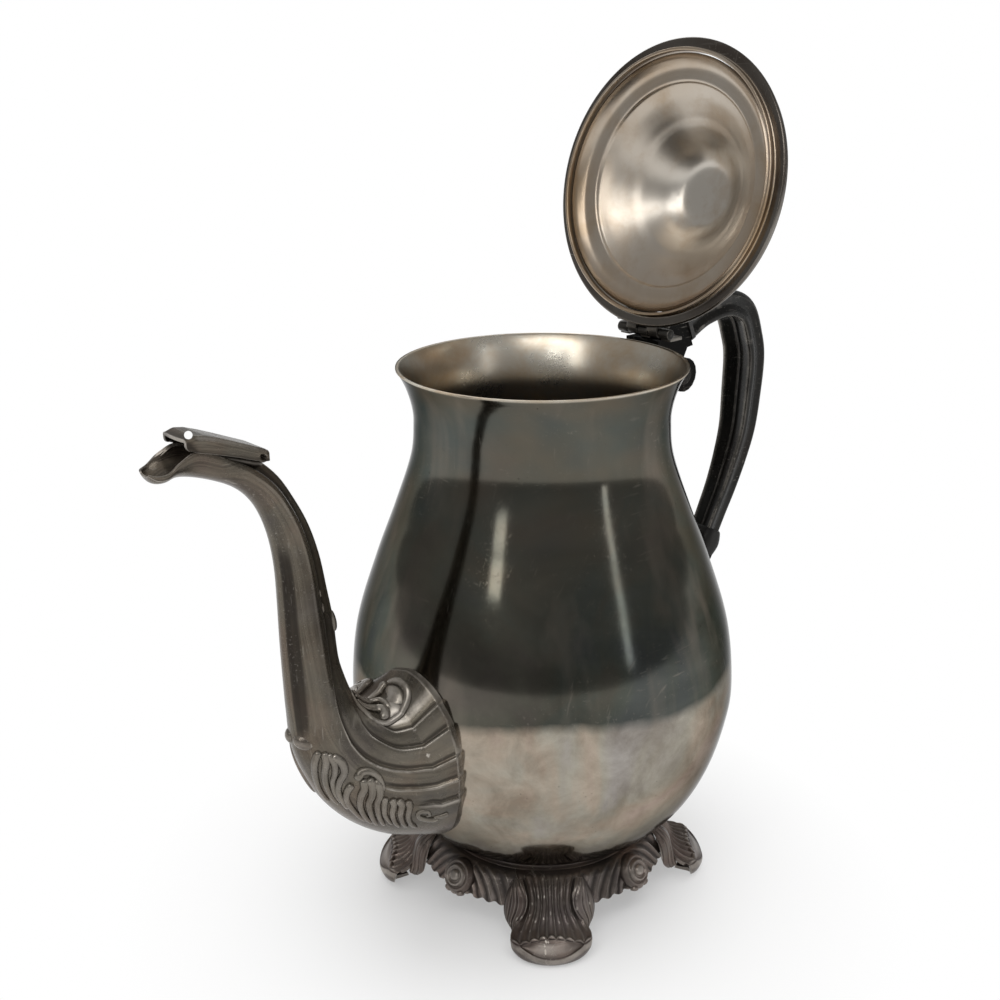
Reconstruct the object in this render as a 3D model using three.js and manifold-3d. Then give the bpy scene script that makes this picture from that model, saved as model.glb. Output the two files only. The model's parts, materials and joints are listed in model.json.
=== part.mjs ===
import * as THREE from "three";
import { mergeVertices } from "three/addons/utils/BufferGeometryUtils.js";
import Module from "manifold-3d";

// Footed silver-plated pot with a hinged lid. Millimetres, +Z up.
// The spout points to -X, the handle to +X, and the lid stands open.

// Clearances
const FIT_GAP = 0.3;
const CUT_OVERRUN = 6;

// Vessel: the base ring stands over the floor, and each ring above it over the one below
const BASE_HEIGHT = 25.7;
const BASE_RADIUS = 34.4;
const BELLY_RISE = 62.3;
const BELLY_RADIUS = 70.8;
const NECK_RISE = 96;
const NECK_RADIUS = 45.4;
const MOUTH_RISE = 20.4;
const RIM_RADIUS = 51.1;
const BELLY_HEIGHT = BASE_HEIGHT + BELLY_RISE;
const NECK_HEIGHT = BELLY_HEIGHT + NECK_RISE;
const RIM_HEIGHT = NECK_HEIGHT + MOUTH_RISE;
const BASE_DOME = 3;
const DOME_SHARES = [[0, 1], [0.5, 0.75], [1, 0]];
const WALL = 1.2;
const ROUND_SIDES = 40;

// Outline between two named rings: share of the height, share of the change in radius
const LOWER_BODY_SHARES = [[0, 0], [0.093, 0.333], [0.276, 0.628], [0.506, 0.835], [0.782, 0.967], [1, 1]];
const UPPER_BODY_SHARES = [[0.226, 0.102], [0.474, 0.4], [0.673, 0.689], [0.871, 0.945], [1, 1]];
const MOUTH_FLARE_SHARES = [[0.34, 0.09], [0.69, 0.45], [1, 1]];
const OUTLINE_STEPS = 18;

// Strainer behind the spout: one hole in the middle, then rings of six more each
const STRAINER_HOLE_RADIUS = 2.6;
const STRAINER_PITCH = 8;
const STRAINER_DROP = 11;
const STRAINER_RINGS = 2;
const STRAINER_RING_COUNT = 6;
const STRAINER_SIDES = 8;

// Foot collar and skirt
const COLLAR_INSET = 3.4;
const COLLAR_OUTSET = 4.8;
const COLLAR_DROP = 3.2;
const FLANGE_LAP = 6.2;
const SKIRT_LAP = 1.7;
const SKIRT_WIDTH = 8.8;
const SKIRT_DROP = 11;
const SKIRT_THICKNESS = 2.3;
const COLLAR_INNER_RADIUS = BASE_RADIUS - COLLAR_INSET;
const COLLAR_OUTER_RADIUS = BASE_RADIUS + COLLAR_OUTSET;
const COLLAR_BOTTOM = BASE_HEIGHT - COLLAR_DROP;
const FLANGE_RADIUS = COLLAR_OUTER_RADIUS - FLANGE_LAP;
const SKIRT_TOP = COLLAR_BOTTOM + SKIRT_LAP;
const SKIRT_REACH = COLLAR_OUTER_RADIUS + SKIRT_WIDTH;
const SKIRT_EDGE_HEIGHT = SKIRT_TOP - SKIRT_DROP;
const SCALLOP_RADIUS = 4;
const SCALLOP_RISE = 2;
const ROSETTE_RADIUS = 6.6;
const ROSETTE_STEP = 1.1;
const ROSETTE_SIDES = 16;
const SCALLOP_COUNT = 3;

// Skirt outline: share of its width, share of its drop
const SKIRT_KNEE_SHARES = [0.55, 0.32];
const SKIRT_INNER_KNEE_SHARES = [0.4, 0.32];
const ROSETTE_PLACE_SHARES = [0.66, 0.52];

// Rosette rings from the edge to the middle: share of its radius, count of steps
const ROSETTE_SHARES = [[1, 1], [0.72, 1], [0.68, 2], [0.34, 2], [0.3, 3], [0, 3]];

// Feet
const FOOT_COUNT = 4;
const FOOT_TURN_DEG = 5.1;
const FOOT_LENGTH = 24.7;
const FOOT_REACH = COLLAR_OUTER_RADIUS + FOOT_LENGTH;
const FOOT_TOP = SKIRT_TOP;
const FOOT_HALF_WIDTH = 16.6;
const TOE_RADIUS = 16.7;
const TOE_SCOOP_RADIUS = 9;
const TOE_SCOOP_DEPTH = 1.6;
const TOE_HEIGHT_SHARE = 0.38;
const TOE_STEPS = 8;
const FLANGE_END_SHARE = 0.22;

// Side outline of a foot: share of the way from the flange to the toe, share of the height
const FOOT_SIDE_SHARES = [
  [0, 0.91], [0.21, 0.91], [0.235, 1], [0.375, 0.965], [0.5, 0.8], [0.6, 0.56], [0.72, 0.44], [0.86, 0.4],
  [0.965, 0.34], [1, 0.2], [0.97, 0.06], [0.91, 0], [0.74, 0], [0.64, 0.09], [0.49, 0.27], [0.37, 0.5],
  [0.23, 0.8], [0, 0.82],
];

// Front outline of a foot: share of the height, share of the half width
const FOOT_FRONT_SHARES = [
  [0, 0.27], [0.05, 0.42], [0.12, 0.62], [0.2, 0.81], [0.28, 0.86], [0.42, 0.83], [0.5, 0.97], [0.58, 1],
  [0.68, 0.88], [0.78, 0.7], [1.02, 0.68],
];

// Spout
const SPOUT_REACH = 80.6;
const SPOUT_TIP_DROP = 3;
const SPOUT_PAD_DROP = 43.5;
const SPOUT_PAD_HEIGHT = 66;
const SPOUT_TIP_HEIGHT = RIM_HEIGHT - SPOUT_TIP_DROP;
const SPOUT_PAD_BOTTOM = BELLY_HEIGHT - SPOUT_PAD_DROP;
const SPOUT_PAD_TOP = SPOUT_PAD_BOTTOM + SPOUT_PAD_HEIGHT;
const SPOUT_PAD_HALF_WIDTH = 29.6;
const SPOUT_PAD_THICKNESS = 2.4;
const SPOUT_WALL = 1.8;
const SPOUT_SIDES = 20;
const SPOUT_MOUTH_START_SHARE = 0.81;
const SPOUT_MOUTH_DROP = 1.3;

// Spout stations from the body to the tip: underside reach and rise, back reach and rise
// as shares of the spout's reach and rise, then the half width as a share of the pad's.
const SPOUT_STATION_SHARES = [
  [-0.053, 0.011, 0.071, 0.379, 0.88], [0.102, 0.043, 0.133, 0.37, 0.71], [0.238, 0.094, 0.176, 0.382, 0.56],
  [0.356, 0.164, 0.207, 0.402, 0.44], [0.437, 0.239, 0.23, 0.427, 0.37], [0.489, 0.315, 0.251, 0.462, 0.33],
  [0.504, 0.398, 0.267, 0.497, 0.3], [0.511, 0.475, 0.273, 0.539, 0.27], [0.516, 0.558, 0.278, 0.586, 0.25],
  [0.516, 0.647, 0.3, 0.656, 0.23], [0.519, 0.723, 0.326, 0.733, 0.22], [0.535, 0.787, 0.367, 0.802, 0.21],
  [0.567, 0.842, 0.424, 0.862, 0.21], [0.613, 0.883, 0.495, 0.92, 0.21], [0.677, 0.914, 0.597, 0.968, 0.21],
  [0.759, 0.933, 0.715, 0.994, 0.22], [0.846, 0.942, 0.829, 1.004, 0.23], [0.928, 0.948, 0.923, 1.005, 0.23],
  [0.98, 0.961, 0.973, 1.003, 0.18], [1, 0.98, 0.996, 1, 0.09],
];
const BORE_STATIONS = 19;

// Hood over the spout's mouth
const HOOD_HALF_WIDTH = 6.6;
// Hood outlines: share of the spout's reach, share of its rise over the tip
const HOOD_TOP_SHARES = [
  [0.577, -0.0331], [0.581, -0.0166], [0.629, -0.0025], [0.763, 0.0255], [0.815, 0.0351], [0.856, 0.037], [0.873, 0.0268],
];
const HOOD_BOTTOM_SHARES = [
  [0.866, 0.0153], [0.831, 0.0115], [0.79, 0.0089], [0.721, -0.0191], [0.635, -0.037], [0.588, -0.0497],
];

// Lid
const LID_OPEN_DEG = 102.8;
const LIP_INSET = 3.1;
const LIP_THICKNESS = 1.3;
const LIP_DEPTH = 2.4;
const LID_OVERHANG = 0.8;
const LID_RIM_HEIGHT = 4.2;
const LID_DEPTH = 28.6;
const LID_WALL = 1.2;
const LIP_RADIUS = RIM_RADIUS - LIP_INSET;
const LID_RIM_RADIUS = RIM_RADIUS + LID_OVERHANG;
const LID_SIDES = 40;

// Outside of the lid's rim: share of its overhang, share of its height
const LID_RIM_SHARES = [[0, 0], [0.75, 0], [1, 0.25], [1, 0.5], [0.75, 0.85], [0, 1]];

// Inside of the lid: share of the shell's radius, share of the depth
const LID_INSIDE_SHARES = [
  [1, 0.05], [0.935, 0.18], [0.84, 0.2], [0.8, 0.25], [0.66, 0.4], [0.53, 0.56], [0.42, 0.75], [0.33, 0.91],
  [0.265, 0.985], [0, 1],
];

// Hinge: the barrel lies outside the lid's rim and over the vessel's
const HINGE_OUTSET = 1.3;
const HINGE_RISE = 3.9;
const HINGE_SEAT_LENGTH = 6.8;
const BARREL_RADIUS = 2;
const PIN_CLEARANCE = 0.05;
const HINGE_PIN_RADIUS = 0.9;
const HINGE_LENGTH = 25;
const KNUCKLE_COUNT = 5;
const LEAF_THICKNESS = 1.4;
const HINGE_SIDES = 16;
const HINGE_RADIUS = LID_RIM_RADIUS + HINGE_OUTSET;
const HINGE_HEIGHT = RIM_HEIGHT + HINGE_RISE;
const HINGE_SEAT_RADIUS = HINGE_RADIUS + HINGE_SEAT_LENGTH;
const HINGE_SEAT_HEIGHT = HINGE_HEIGHT - BARREL_RADIUS - LEAF_THICKNESS / 2 - FIT_GAP;

// Handle
const HANDLE_ROOT_OFFSET = 11;
const HANDLE_ROOT_DROP = 0.3;
const HANDLE_REACH = 43.4;
const HANDLE_END_RISE = 18;
const LOWER_SOCKET_RISE = 10;
const HANDLE_HALF_WIDTH = 7.6;
const HANDLE_HALF_DEPTH = 5.2;
const HANDLE_STEPS = 26;
const HANDLE_ROOT_RADIUS = HINGE_SEAT_RADIUS + HANDLE_ROOT_OFFSET;
const HANDLE_ROOT_HEIGHT = HINGE_HEIGHT - HANDLE_ROOT_DROP;
const LOWER_SOCKET_HEIGHT = BELLY_HEIGHT + LOWER_SOCKET_RISE;
const HANDLE_DROP = HANDLE_ROOT_HEIGHT - LOWER_SOCKET_HEIGHT - HANDLE_END_RISE;

// Handle path from its root: share of the reach outwards, share of the drop
const HANDLE_PATH_SHARES = [
  [0, 0], [0.23, 0.046], [0.56, 0.062], [0.81, 0.01], [0.935, -0.11], [0.985, -0.21], [0.97, -0.36], [0.935, -0.52],
  [0.85, -0.65], [0.73, -0.78], [0.6, -0.895], [0.48, -1],
];
const HANDLE_END_WIDTH_SHARE = 0.66;
const HANDLE_END_DEPTH_SHARE = 0.78;

// Handle section: outwards, sideways. A shallow ridge inside, three ribs outside.
const HANDLE_SECTION_SHARES = [
  [-0.7, -1], [0.7, -1], [1, -0.7], [0.76, -0.38], [1.12, 0], [0.76, 0.38], [1, 0.7], [0.7, 1], [-0.7, 1], [-1, 0],
];

// Sockets, insulators and pins of the handle
const INSULATOR_THICKNESS = 1.8;
const SOCKET_GROWTH = 1.12;
const SOCKET_STEPS = 8;
const UPPER_SOCKET_WIDTH = 16;
const UPPER_SOCKET_DROP = 28.3;
const SCROLL_RADIUS = 6.6;
const SCROLL_WIDTH = 11;
const PIN_RADIUS = 1.4;
const PIN_LENGTH = 11;
const PIN_SIDES = 10;

// Neck side of the upper socket: share of the way from the neck out to the handle's lower corner,
// share of the height from the leaf's tip to the hinge's seat
const UPPER_SOCKET_SHARES = [
  [-0.09, 0.06], [0.12, -0.02], [0.44, 0.16], [0.75, 0.3], [0.75, 0.6], [0.81, 0.72], [0.88, 0.84],
];
// The scroll's height on the socket's outer edge, and how far it stands out of that edge
const SCROLL_EDGE_SHARES = [0.75, 0.43];
const SCROLL_OUT_SHARE = 0.83;

// Finial
const FINIAL_BASE_RADIUS = 9.5;
const FINIAL_BASE_HEIGHT = 3.4;
const FINIAL_HEIGHT = 18;
const FINIAL_RADIUS = 7.2;
const FINIAL_SIDES = 24;

// Turned outlines: share of the radius, share of the height
const FINIAL_BASE_SHARES = [[0, 0], [1, 0], [1, 0.3], [0.78, 0.5], [0.62, 1], [0, 1]];
const FINIAL_KNOB_SHARES = [
  [0, 0], [0.62, 0], [0.4, 0.12], [0.46, 0.24], [0.86, 0.42], [1, 0.58], [0.88, 0.74], [0.5, 0.86], [0.3, 0.93],
  [0, 1],
];

const wasm = await Module();
wasm.setup();

// Solid helpers
function signedVolume(geometry) {
  const at = geometry.attributes.position;
  const index = geometry.index;
  const corners = [new THREE.Vector3(), new THREE.Vector3(), new THREE.Vector3()];
  let sum = 0;
  for (let i = 0; i < index.count; i += 3) {
    corners.forEach((corner, k) => corner.fromBufferAttribute(at, index.getX(i + k)));
    sum += corners[0].dot(corners[1].cross(corners[2]));
  }
  return sum / 6;
}

function closed(geometry) {
  const bare = geometry.clone();
  bare.deleteAttribute("normal");
  bare.deleteAttribute("uv");
  const merged = mergeVertices(bare, 1e-4);
  const kept = [];
  const index = merged.index;
  for (let i = 0; i < index.count; i += 3) {
    const [a, b, c] = [index.getX(i), index.getX(i + 1), index.getX(i + 2)];
    if (a !== b && b !== c && c !== a) kept.push(a, b, c);
  }
  merged.setIndex(kept);
  if (signedVolume(merged) < 0) {
    for (let i = 0; i < kept.length; i += 3) [kept[i], kept[i + 1]] = [kept[i + 1], kept[i]];
    merged.setIndex(kept);
  }
  return merged;
}

function solid(geometry) {
  const shape = closed(geometry);
  return new wasm.Manifold(new wasm.Mesh({
    numProp: 3,
    vertProperties: new Float32Array(shape.attributes.position.array),
    triVerts: new Uint32Array(shape.index.array),
  }));
}

function geometryOf(manifold) {
  const mesh = manifold.getMesh();
  const geometry = new THREE.BufferGeometry();
  geometry.setAttribute("position", new THREE.BufferAttribute(new Float32Array(mesh.vertProperties), 3));
  geometry.setIndex(new THREE.BufferAttribute(new Uint32Array(mesh.triVerts), 1));
  return geometry;
}

// A closed outline of radius and height pairs turned about the vertical axis
function turned(outline, sides = ROUND_SIDES) {
  const first = outline[0];
  const points = outline.map(([r, z]) => new THREE.Vector2(r, z));
  if (first[0] > 0) points.push(new THREE.Vector2(first[0], first[1]));
  return new THREE.LatheGeometry(points, sides).rotateX(Math.PI / 2);
}

// An outline in the XZ plane with a width along Y, centred on the middle plane
function sidePlate(outline, width) {
  const shape = new THREE.Shape(outline.map(([x, z]) => new THREE.Vector2(x, z)));
  const plate = new THREE.ExtrudeGeometry(shape, { depth: width, bevelEnabled: false });
  return plate.rotateX(Math.PI / 2).translate(0, width / 2, 0);
}

// An outline in the YZ plane with a length along X, starting at the given place
function frontPlate(outline, start, length) {
  const shape = new THREE.Shape(outline.map(([y, z]) => new THREE.Vector2(y, z)));
  const plate = new THREE.ExtrudeGeometry(shape, { depth: length, bevelEnabled: false });
  const toX = new THREE.Matrix4().makeBasis(
    new THREE.Vector3(0, 1, 0), new THREE.Vector3(0, 0, 1), new THREE.Vector3(1, 0, 0));
  return plate.applyMatrix4(toX).translate(start, 0, 0);
}

// An outline in the XY plane with a height along Z
function topPlate(outline, bottom, height) {
  const shape = new THREE.Shape(outline.map(([x, y]) => new THREE.Vector2(x, y)));
  return new THREE.ExtrudeGeometry(shape, { depth: height, bevelEnabled: false }).translate(0, 0, bottom);
}

// A rod along Y through a place in the middle plane
function crossRod(radius, length, x, z, sides = HINGE_SIDES) {
  return new THREE.CylinderGeometry(radius, radius, length, sides).translate(x, 0, z);
}

// A rod from one place to another
function rod(radius, from, to, sides = PIN_SIDES) {
  const along = to.clone().sub(from);
  const turn = new THREE.Quaternion().setFromUnitVectors(new THREE.Vector3(0, 1, 0), along.clone().normalize());
  const middle = from.clone().addScaledVector(along, 0.5);
  return new THREE.CylinderGeometry(radius, radius, along.length(), sides)
    .applyQuaternion(turn).translate(middle.x, middle.y, middle.z);
}

// Rings of equal count joined in order, with both ends closed
function lofted(rings) {
  const count = rings[0].length;
  const points = rings.flat();
  const triangles = [];
  for (let row = 0; row + 1 < rings.length; row += 1) {
    for (let i = 0; i < count; i += 1) {
      const next = (i + 1) % count;
      const a = row * count + i;
      const b = row * count + next;
      triangles.push(a, b, b + count, a, b + count, a + count);
    }
  }
  [0, rings.length - 1].forEach((row, end) => {
    const middle = rings[row].reduce((sum, p) => sum.add(p), new THREE.Vector3()).divideScalar(count);
    points.push(middle);
    const hub = points.length - 1;
    for (let i = 0; i < count; i += 1) {
      const a = row * count + i;
      const b = row * count + (i + 1) % count;
      if (end === 0) triangles.push(b, a, hub);
      else triangles.push(a, b, hub);
    }
  });
  const geometry = new THREE.BufferGeometry().setFromPoints(points);
  geometry.setIndex(triangles);
  return geometry;
}

function offsetOutline(outline, distance) {
  return outline.map(([r, z], i) => {
    const before = outline[Math.max(i - 1, 0)];
    const after = outline[Math.min(i + 1, outline.length - 1)];
    const along = new THREE.Vector2(after[0] - before[0], after[1] - before[1]).normalize();
    return [Math.max(r - along.y * distance, 0), z + along.x * distance];
  });
}

const mix = THREE.MathUtils.lerp;
const radians = THREE.MathUtils.degToRad;

// Body outline
const bodyCorners = [
  ...LOWER_BODY_SHARES.map(([h, r]) => [mix(BASE_RADIUS, BELLY_RADIUS, r), mix(BASE_HEIGHT, BELLY_HEIGHT, h)]),
  ...UPPER_BODY_SHARES.map(([h, r]) => [mix(BELLY_RADIUS, NECK_RADIUS, r), mix(BELLY_HEIGHT, NECK_HEIGHT, h)]),
  ...MOUTH_FLARE_SHARES.map(([h, r]) => [mix(NECK_RADIUS, RIM_RADIUS, r), mix(NECK_HEIGHT, RIM_HEIGHT, h)]),
];
const bodyCurve = new THREE.SplineCurve(bodyCorners.map(([r, z]) => new THREE.Vector2(r, z)));
const bodyOutline = bodyCurve.getPoints(OUTLINE_STEPS).map((p) => [p.x, p.y]);

function bodyRadiusAt(height) {
  for (let i = 0; i + 1 < bodyOutline.length; i += 1) {
    const [r0, z0] = bodyOutline[i];
    const [r1, z1] = bodyOutline[i + 1];
    if (height >= z0 && height <= z1) return mix(r0, r1, (height - z0) / (z1 - z0));
  }
  return height < bodyOutline[0][1] ? bodyOutline[0][0] : RIM_RADIUS;
}

// The body's outer form, filled, and grown by a gap, for cutting what sits on it
function bodyEnvelope(gap) {
  const grown = offsetOutline(bodyOutline, -gap);
  const top = grown[grown.length - 1];
  const bottom = grown[0];
  return solid(turned([[0, bottom[1]], ...grown, [top[0], top[1] + CUT_OVERRUN], [0, top[1] + CUT_OVERRUN]]));
}
const bodyFilled = bodyEnvelope(FIT_GAP);

function vesselSolid() {
  const inner = offsetOutline(bodyOutline, WALL).map(([r, z]) => [r, Math.min(z, RIM_HEIGHT)]).reverse();
  const shell = solid(turned([...bodyOutline, ...inner]));
  const holes = [];
  for (let ring = 0; ring <= STRAINER_RINGS; ring += 1) {
    const count = ring === 0 ? 1 : ring * STRAINER_RING_COUNT;
    for (let i = 0; i < count; i += 1) {
      const turn = 2 * Math.PI * i / count;
      const y = ring * STRAINER_PITCH * Math.cos(turn);
      const z = BELLY_HEIGHT - STRAINER_DROP + ring * STRAINER_PITCH * Math.sin(turn);
      const from = new THREE.Vector3(-BELLY_RADIUS - CUT_OVERRUN, y, z);
      const to = new THREE.Vector3(-BASE_RADIUS, y, z);
      holes.push(solid(rod(STRAINER_HOLE_RADIUS, from, to, STRAINER_SIDES)));
    }
  }
  return holes.reduce((body, hole) => body.subtract(hole), shell);
}

function bottomDisc() {
  const radius = BASE_RADIUS - WALL / 2 - FIT_GAP;
  const under = DOME_SHARES.map(([out, up]) => [out * radius, BASE_HEIGHT + up * BASE_DOME]);
  const over = under.map(([r, z]) => [r, z + WALL]).reverse();
  return turned([...under, ...over]);
}

function collarSolid() {
  const ring = solid(turned([
    [COLLAR_INNER_RADIUS, COLLAR_BOTTOM], [COLLAR_OUTER_RADIUS - ROSETTE_STEP, COLLAR_BOTTOM],
    [COLLAR_OUTER_RADIUS, COLLAR_BOTTOM + ROSETTE_STEP], [COLLAR_OUTER_RADIUS, BASE_HEIGHT + BASE_DOME],
    [COLLAR_INNER_RADIUS, BASE_HEIGHT + BASE_DOME],
  ]));
  const base = BASE_HEIGHT - FIT_GAP;
  const under = solid(turned([
    [0, base], [BASE_RADIUS, base], [BASE_RADIUS, RIM_HEIGHT], [0, RIM_HEIGHT],
  ]));
  return ring.subtract(bodyFilled).subtract(under);
}

// Feet and skirt share the flange that the collar stands on
const flangeTop = COLLAR_BOTTOM - FIT_GAP;

function footSide() {
  return FOOT_SIDE_SHARES.map(([out, up]) => [
    mix(FLANGE_RADIUS, FOOT_REACH, out),
    Math.min(up * FOOT_TOP, out < FLANGE_END_SHARE ? flangeTop : FOOT_TOP)]);
}

function footFront(extra) {
  const right = FOOT_FRONT_SHARES.map(([up, half]) => [half * FOOT_HALF_WIDTH + extra, up * FOOT_TOP]);
  const left = right.map(([y, z]) => [-y, z]).reverse();
  return [...right, ...left];
}

function footPlan() {
  const middle = FOOT_REACH - TOE_RADIUS;
  const toe = [];
  for (let i = -TOE_STEPS; i <= TOE_STEPS; i += 1) {
    const turn = Math.PI / 2 * i / TOE_STEPS;
    toe.push([middle + TOE_RADIUS * Math.cos(turn), TOE_RADIUS * Math.sin(turn)]);
  }
  return [[FLANGE_RADIUS, -TOE_RADIUS], ...toe, [FLANGE_RADIUS, TOE_RADIUS]];
}

function footSolid() {
  const side = solid(sidePlate(footSide(), 2 * FOOT_HALF_WIDTH + CUT_OVERRUN));
  const front = solid(frontPlate(footFront(0), FLANGE_RADIUS - CUT_OVERRUN, FOOT_REACH));
  const plan = solid(topPlate(footPlan(), -CUT_OVERRUN, FOOT_TOP + 2 * CUT_OVERRUN));
  const scoop = new THREE.SphereGeometry(TOE_SCOOP_RADIUS, ROSETTE_SIDES, TOE_STEPS);
  scoop.translate(FOOT_REACH - TOE_RADIUS / 3, 0,
    TOE_SCOOP_RADIUS + TOE_HEIGHT_SHARE * FOOT_TOP - TOE_SCOOP_DEPTH);
  return side.intersect(front).intersect(plan).subtract(solid(scoop)).subtract(bodyFilled);
}

// One quarter of the skirt, between two feet, with its rosette, centred on +X
function skirtSolid() {
  const drop = SKIRT_TOP - SKIRT_EDGE_HEIGHT;
  const rootIn = COLLAR_OUTER_RADIUS + FIT_GAP;
  const place = ([out, down]) => [COLLAR_OUTER_RADIUS + out * SKIRT_WIDTH, SKIRT_TOP - down * drop];
  const [kneeOut, kneeIn, middle] = [SKIRT_KNEE_SHARES, SKIRT_INNER_KNEE_SHARES, ROSETTE_PLACE_SHARES].map(place);
  const wall = solid(turned([
    [FLANGE_RADIUS, flangeTop], [rootIn, flangeTop], [rootIn + SKIRT_THICKNESS / 3, SKIRT_TOP],
    kneeOut, [SKIRT_REACH, SKIRT_EDGE_HEIGHT],
    [SKIRT_REACH - SKIRT_THICKNESS, SKIRT_EDGE_HEIGHT - ROSETTE_STEP / 2],
    [kneeIn[0], kneeIn[1] - SKIRT_THICKNESS],
    [rootIn - SKIRT_THICKNESS / 2, flangeTop - SKIRT_THICKNESS], [FLANGE_RADIUS, flangeTop - SKIRT_THICKNESS],
  ]));
  const quarter = solid(topPlate([
    [0, 0], [2 * SKIRT_REACH, -2 * SKIRT_REACH], [2 * SKIRT_REACH, 2 * SKIRT_REACH],
  ], 0, FOOT_TOP + CUT_OVERRUN));
  const tilt = Math.PI / 2 - Math.atan2(drop, SKIRT_WIDTH);
  const rings = ROSETTE_SHARES.map(([r, steps]) => [r * ROSETTE_RADIUS, steps * ROSETTE_STEP]);
  const rosette = turned([[0, -SKIRT_THICKNESS / 2], [ROSETTE_RADIUS, -SKIRT_THICKNESS / 2], ...rings],
    ROSETTE_SIDES).rotateY(tilt).translate(middle[0], 0, middle[1]);
  let piece = wall.intersect(quarter);
  for (const side of [-1, 1]) {
    for (let step = 1; step <= SCALLOP_COUNT; step += 1) {
      const turn = side * (2 * step * SCALLOP_RADIUS + ROSETTE_RADIUS / 2) / SKIRT_REACH;
      const out = new THREE.Vector3(Math.cos(turn), Math.sin(turn), 0);
      const height = SKIRT_EDGE_HEIGHT + (step - 1) * SCALLOP_RISE - SCALLOP_RADIUS / 2;
      const from = out.clone().multiplyScalar(FLANGE_RADIUS).setZ(height - SCALLOP_RISE);
      const to = out.clone().multiplyScalar(SKIRT_REACH + CUT_OVERRUN).setZ(height);
      piece = piece.subtract(solid(rod(SCALLOP_RADIUS, from, to, ROSETTE_SIDES)));
    }
  }
  piece = piece.add(solid(rosette));
  for (const side of [-1, 1]) {
    const foot = frontPlate(footFront(FIT_GAP), 0, FOOT_REACH).rotateZ(side * Math.PI / FOOT_COUNT);
    piece = piece.subtract(solid(foot));
  }
  return piece.subtract(bodyFilled);
}

// Spout
const padMiddle = (SPOUT_PAD_TOP + SPOUT_PAD_BOTTOM) / 2;
const padHalfHeight = (SPOUT_PAD_TOP - SPOUT_PAD_BOTTOM) / 2;
const spoutRise = SPOUT_TIP_HEIGHT - SPOUT_PAD_BOTTOM;
const spoutPlace = (reach, rise) => [BELLY_RADIUS + reach * SPOUT_REACH, SPOUT_PAD_BOTTOM + rise * spoutRise];

// A ring of the pad's outline that follows the body, at a height over its surface
function padRing(over, inset) {
  const halfTurn = (SPOUT_PAD_HALF_WIDTH - inset) / BELLY_RADIUS;
  const ring = [];
  for (let i = 0; i < SPOUT_SIDES; i += 1) {
    const turn = 2 * Math.PI * i / SPOUT_SIDES;
    const z = padMiddle + (padHalfHeight - inset) * Math.cos(turn);
    const r = bodyRadiusAt(z) + over;
    const around = halfTurn * Math.sin(turn);
    ring.push(new THREE.Vector3(-r * Math.cos(around), r * Math.sin(around), z));
  }
  return ring;
}

function stationRing([underReach, underRise, backReach, backRise, width], grow) {
  const [ux, uz] = spoutPlace(underReach, underRise);
  const [bx, bz] = spoutPlace(backReach, backRise);
  const under = new THREE.Vector3(-ux, 0, uz);
  const back = new THREE.Vector3(-bx, 0, bz);
  const middle = under.clone().add(back).multiplyScalar(0.5);
  const up = back.clone().sub(middle);
  const half = Math.max(up.length() + grow, FIT_GAP);
  const halfWidth = Math.max(width * SPOUT_PAD_HALF_WIDTH + grow, FIT_GAP);
  up.normalize();
  const ring = [];
  for (let i = 0; i < SPOUT_SIDES; i += 1) {
    const turn = 2 * Math.PI * i / SPOUT_SIDES;
    ring.push(middle.clone().addScaledVector(up, half * Math.cos(turn)).add(
      new THREE.Vector3(0, halfWidth * Math.sin(turn), 0)));
  }
  return ring;
}

function spoutForm(grow) {
  return solid(lofted([
    padRing(-CUT_OVERRUN, -grow), padRing(SPOUT_PAD_THICKNESS + grow, -grow),
    ...SPOUT_STATION_SHARES.map((station) => stationRing(station, grow))]));
}

function spoutSolid() {
  const bore = solid(lofted([
    padRing(-CUT_OVERRUN, 2 * SPOUT_WALL),
    ...SPOUT_STATION_SHARES.slice(0, BORE_STATIONS).map((station) => stationRing(station, -SPOUT_WALL))]));
  const [mouthX, mouthZ] = spoutPlace(SPOUT_MOUTH_START_SHARE, 1);
  const rimZ = mouthZ - SPOUT_MOUTH_DROP;
  const [tipX] = spoutPlace(1, 1);
  const mouth = solid(sidePlate([
    [-mouthX, rimZ + SPOUT_MOUTH_DROP], [-mouthX - SPOUT_MOUTH_DROP, rimZ], [-tipX - CUT_OVERRUN, rimZ],
    [-tipX - CUT_OVERRUN, rimZ + 2 * CUT_OVERRUN], [-mouthX, rimZ + 2 * CUT_OVERRUN],
  ], SPOUT_PAD_HALF_WIDTH));
  return spoutForm(0).subtract(bore).subtract(mouth).subtract(bodyFilled);
}

function spoutHalf(whole, side) {
  const width = 2 * SPOUT_PAD_HALF_WIDTH;
  const outline = [
    [-BELLY_RADIUS - SPOUT_REACH - CUT_OVERRUN, 0], [0, 0], [0, RIM_HEIGHT + CUT_OVERRUN],
    [-BELLY_RADIUS - SPOUT_REACH - CUT_OVERRUN, RIM_HEIGHT + CUT_OVERRUN],
  ];
  const room = sidePlate(outline, width).translate(0, side * (width + FIT_GAP) / 2, 0);
  return whole.intersect(solid(room));
}

function hoodSolid() {
  const outline = [...HOOD_TOP_SHARES, ...HOOD_BOTTOM_SHARES].map(([reach, rise]) => {
    const [x, z] = spoutPlace(reach, 1 + rise);
    return [-x, z];
  });
  return solid(sidePlate(outline, 2 * HOOD_HALF_WIDTH)).subtract(spoutForm(FIT_GAP));
}

// Handle
const alongHandle = new THREE.CatmullRomCurve3(HANDLE_PATH_SHARES.map(([out, down]) => new THREE.Vector3(
  HANDLE_ROOT_RADIUS + out * HANDLE_REACH, 0, HANDLE_ROOT_HEIGHT + down * HANDLE_DROP)));

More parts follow.
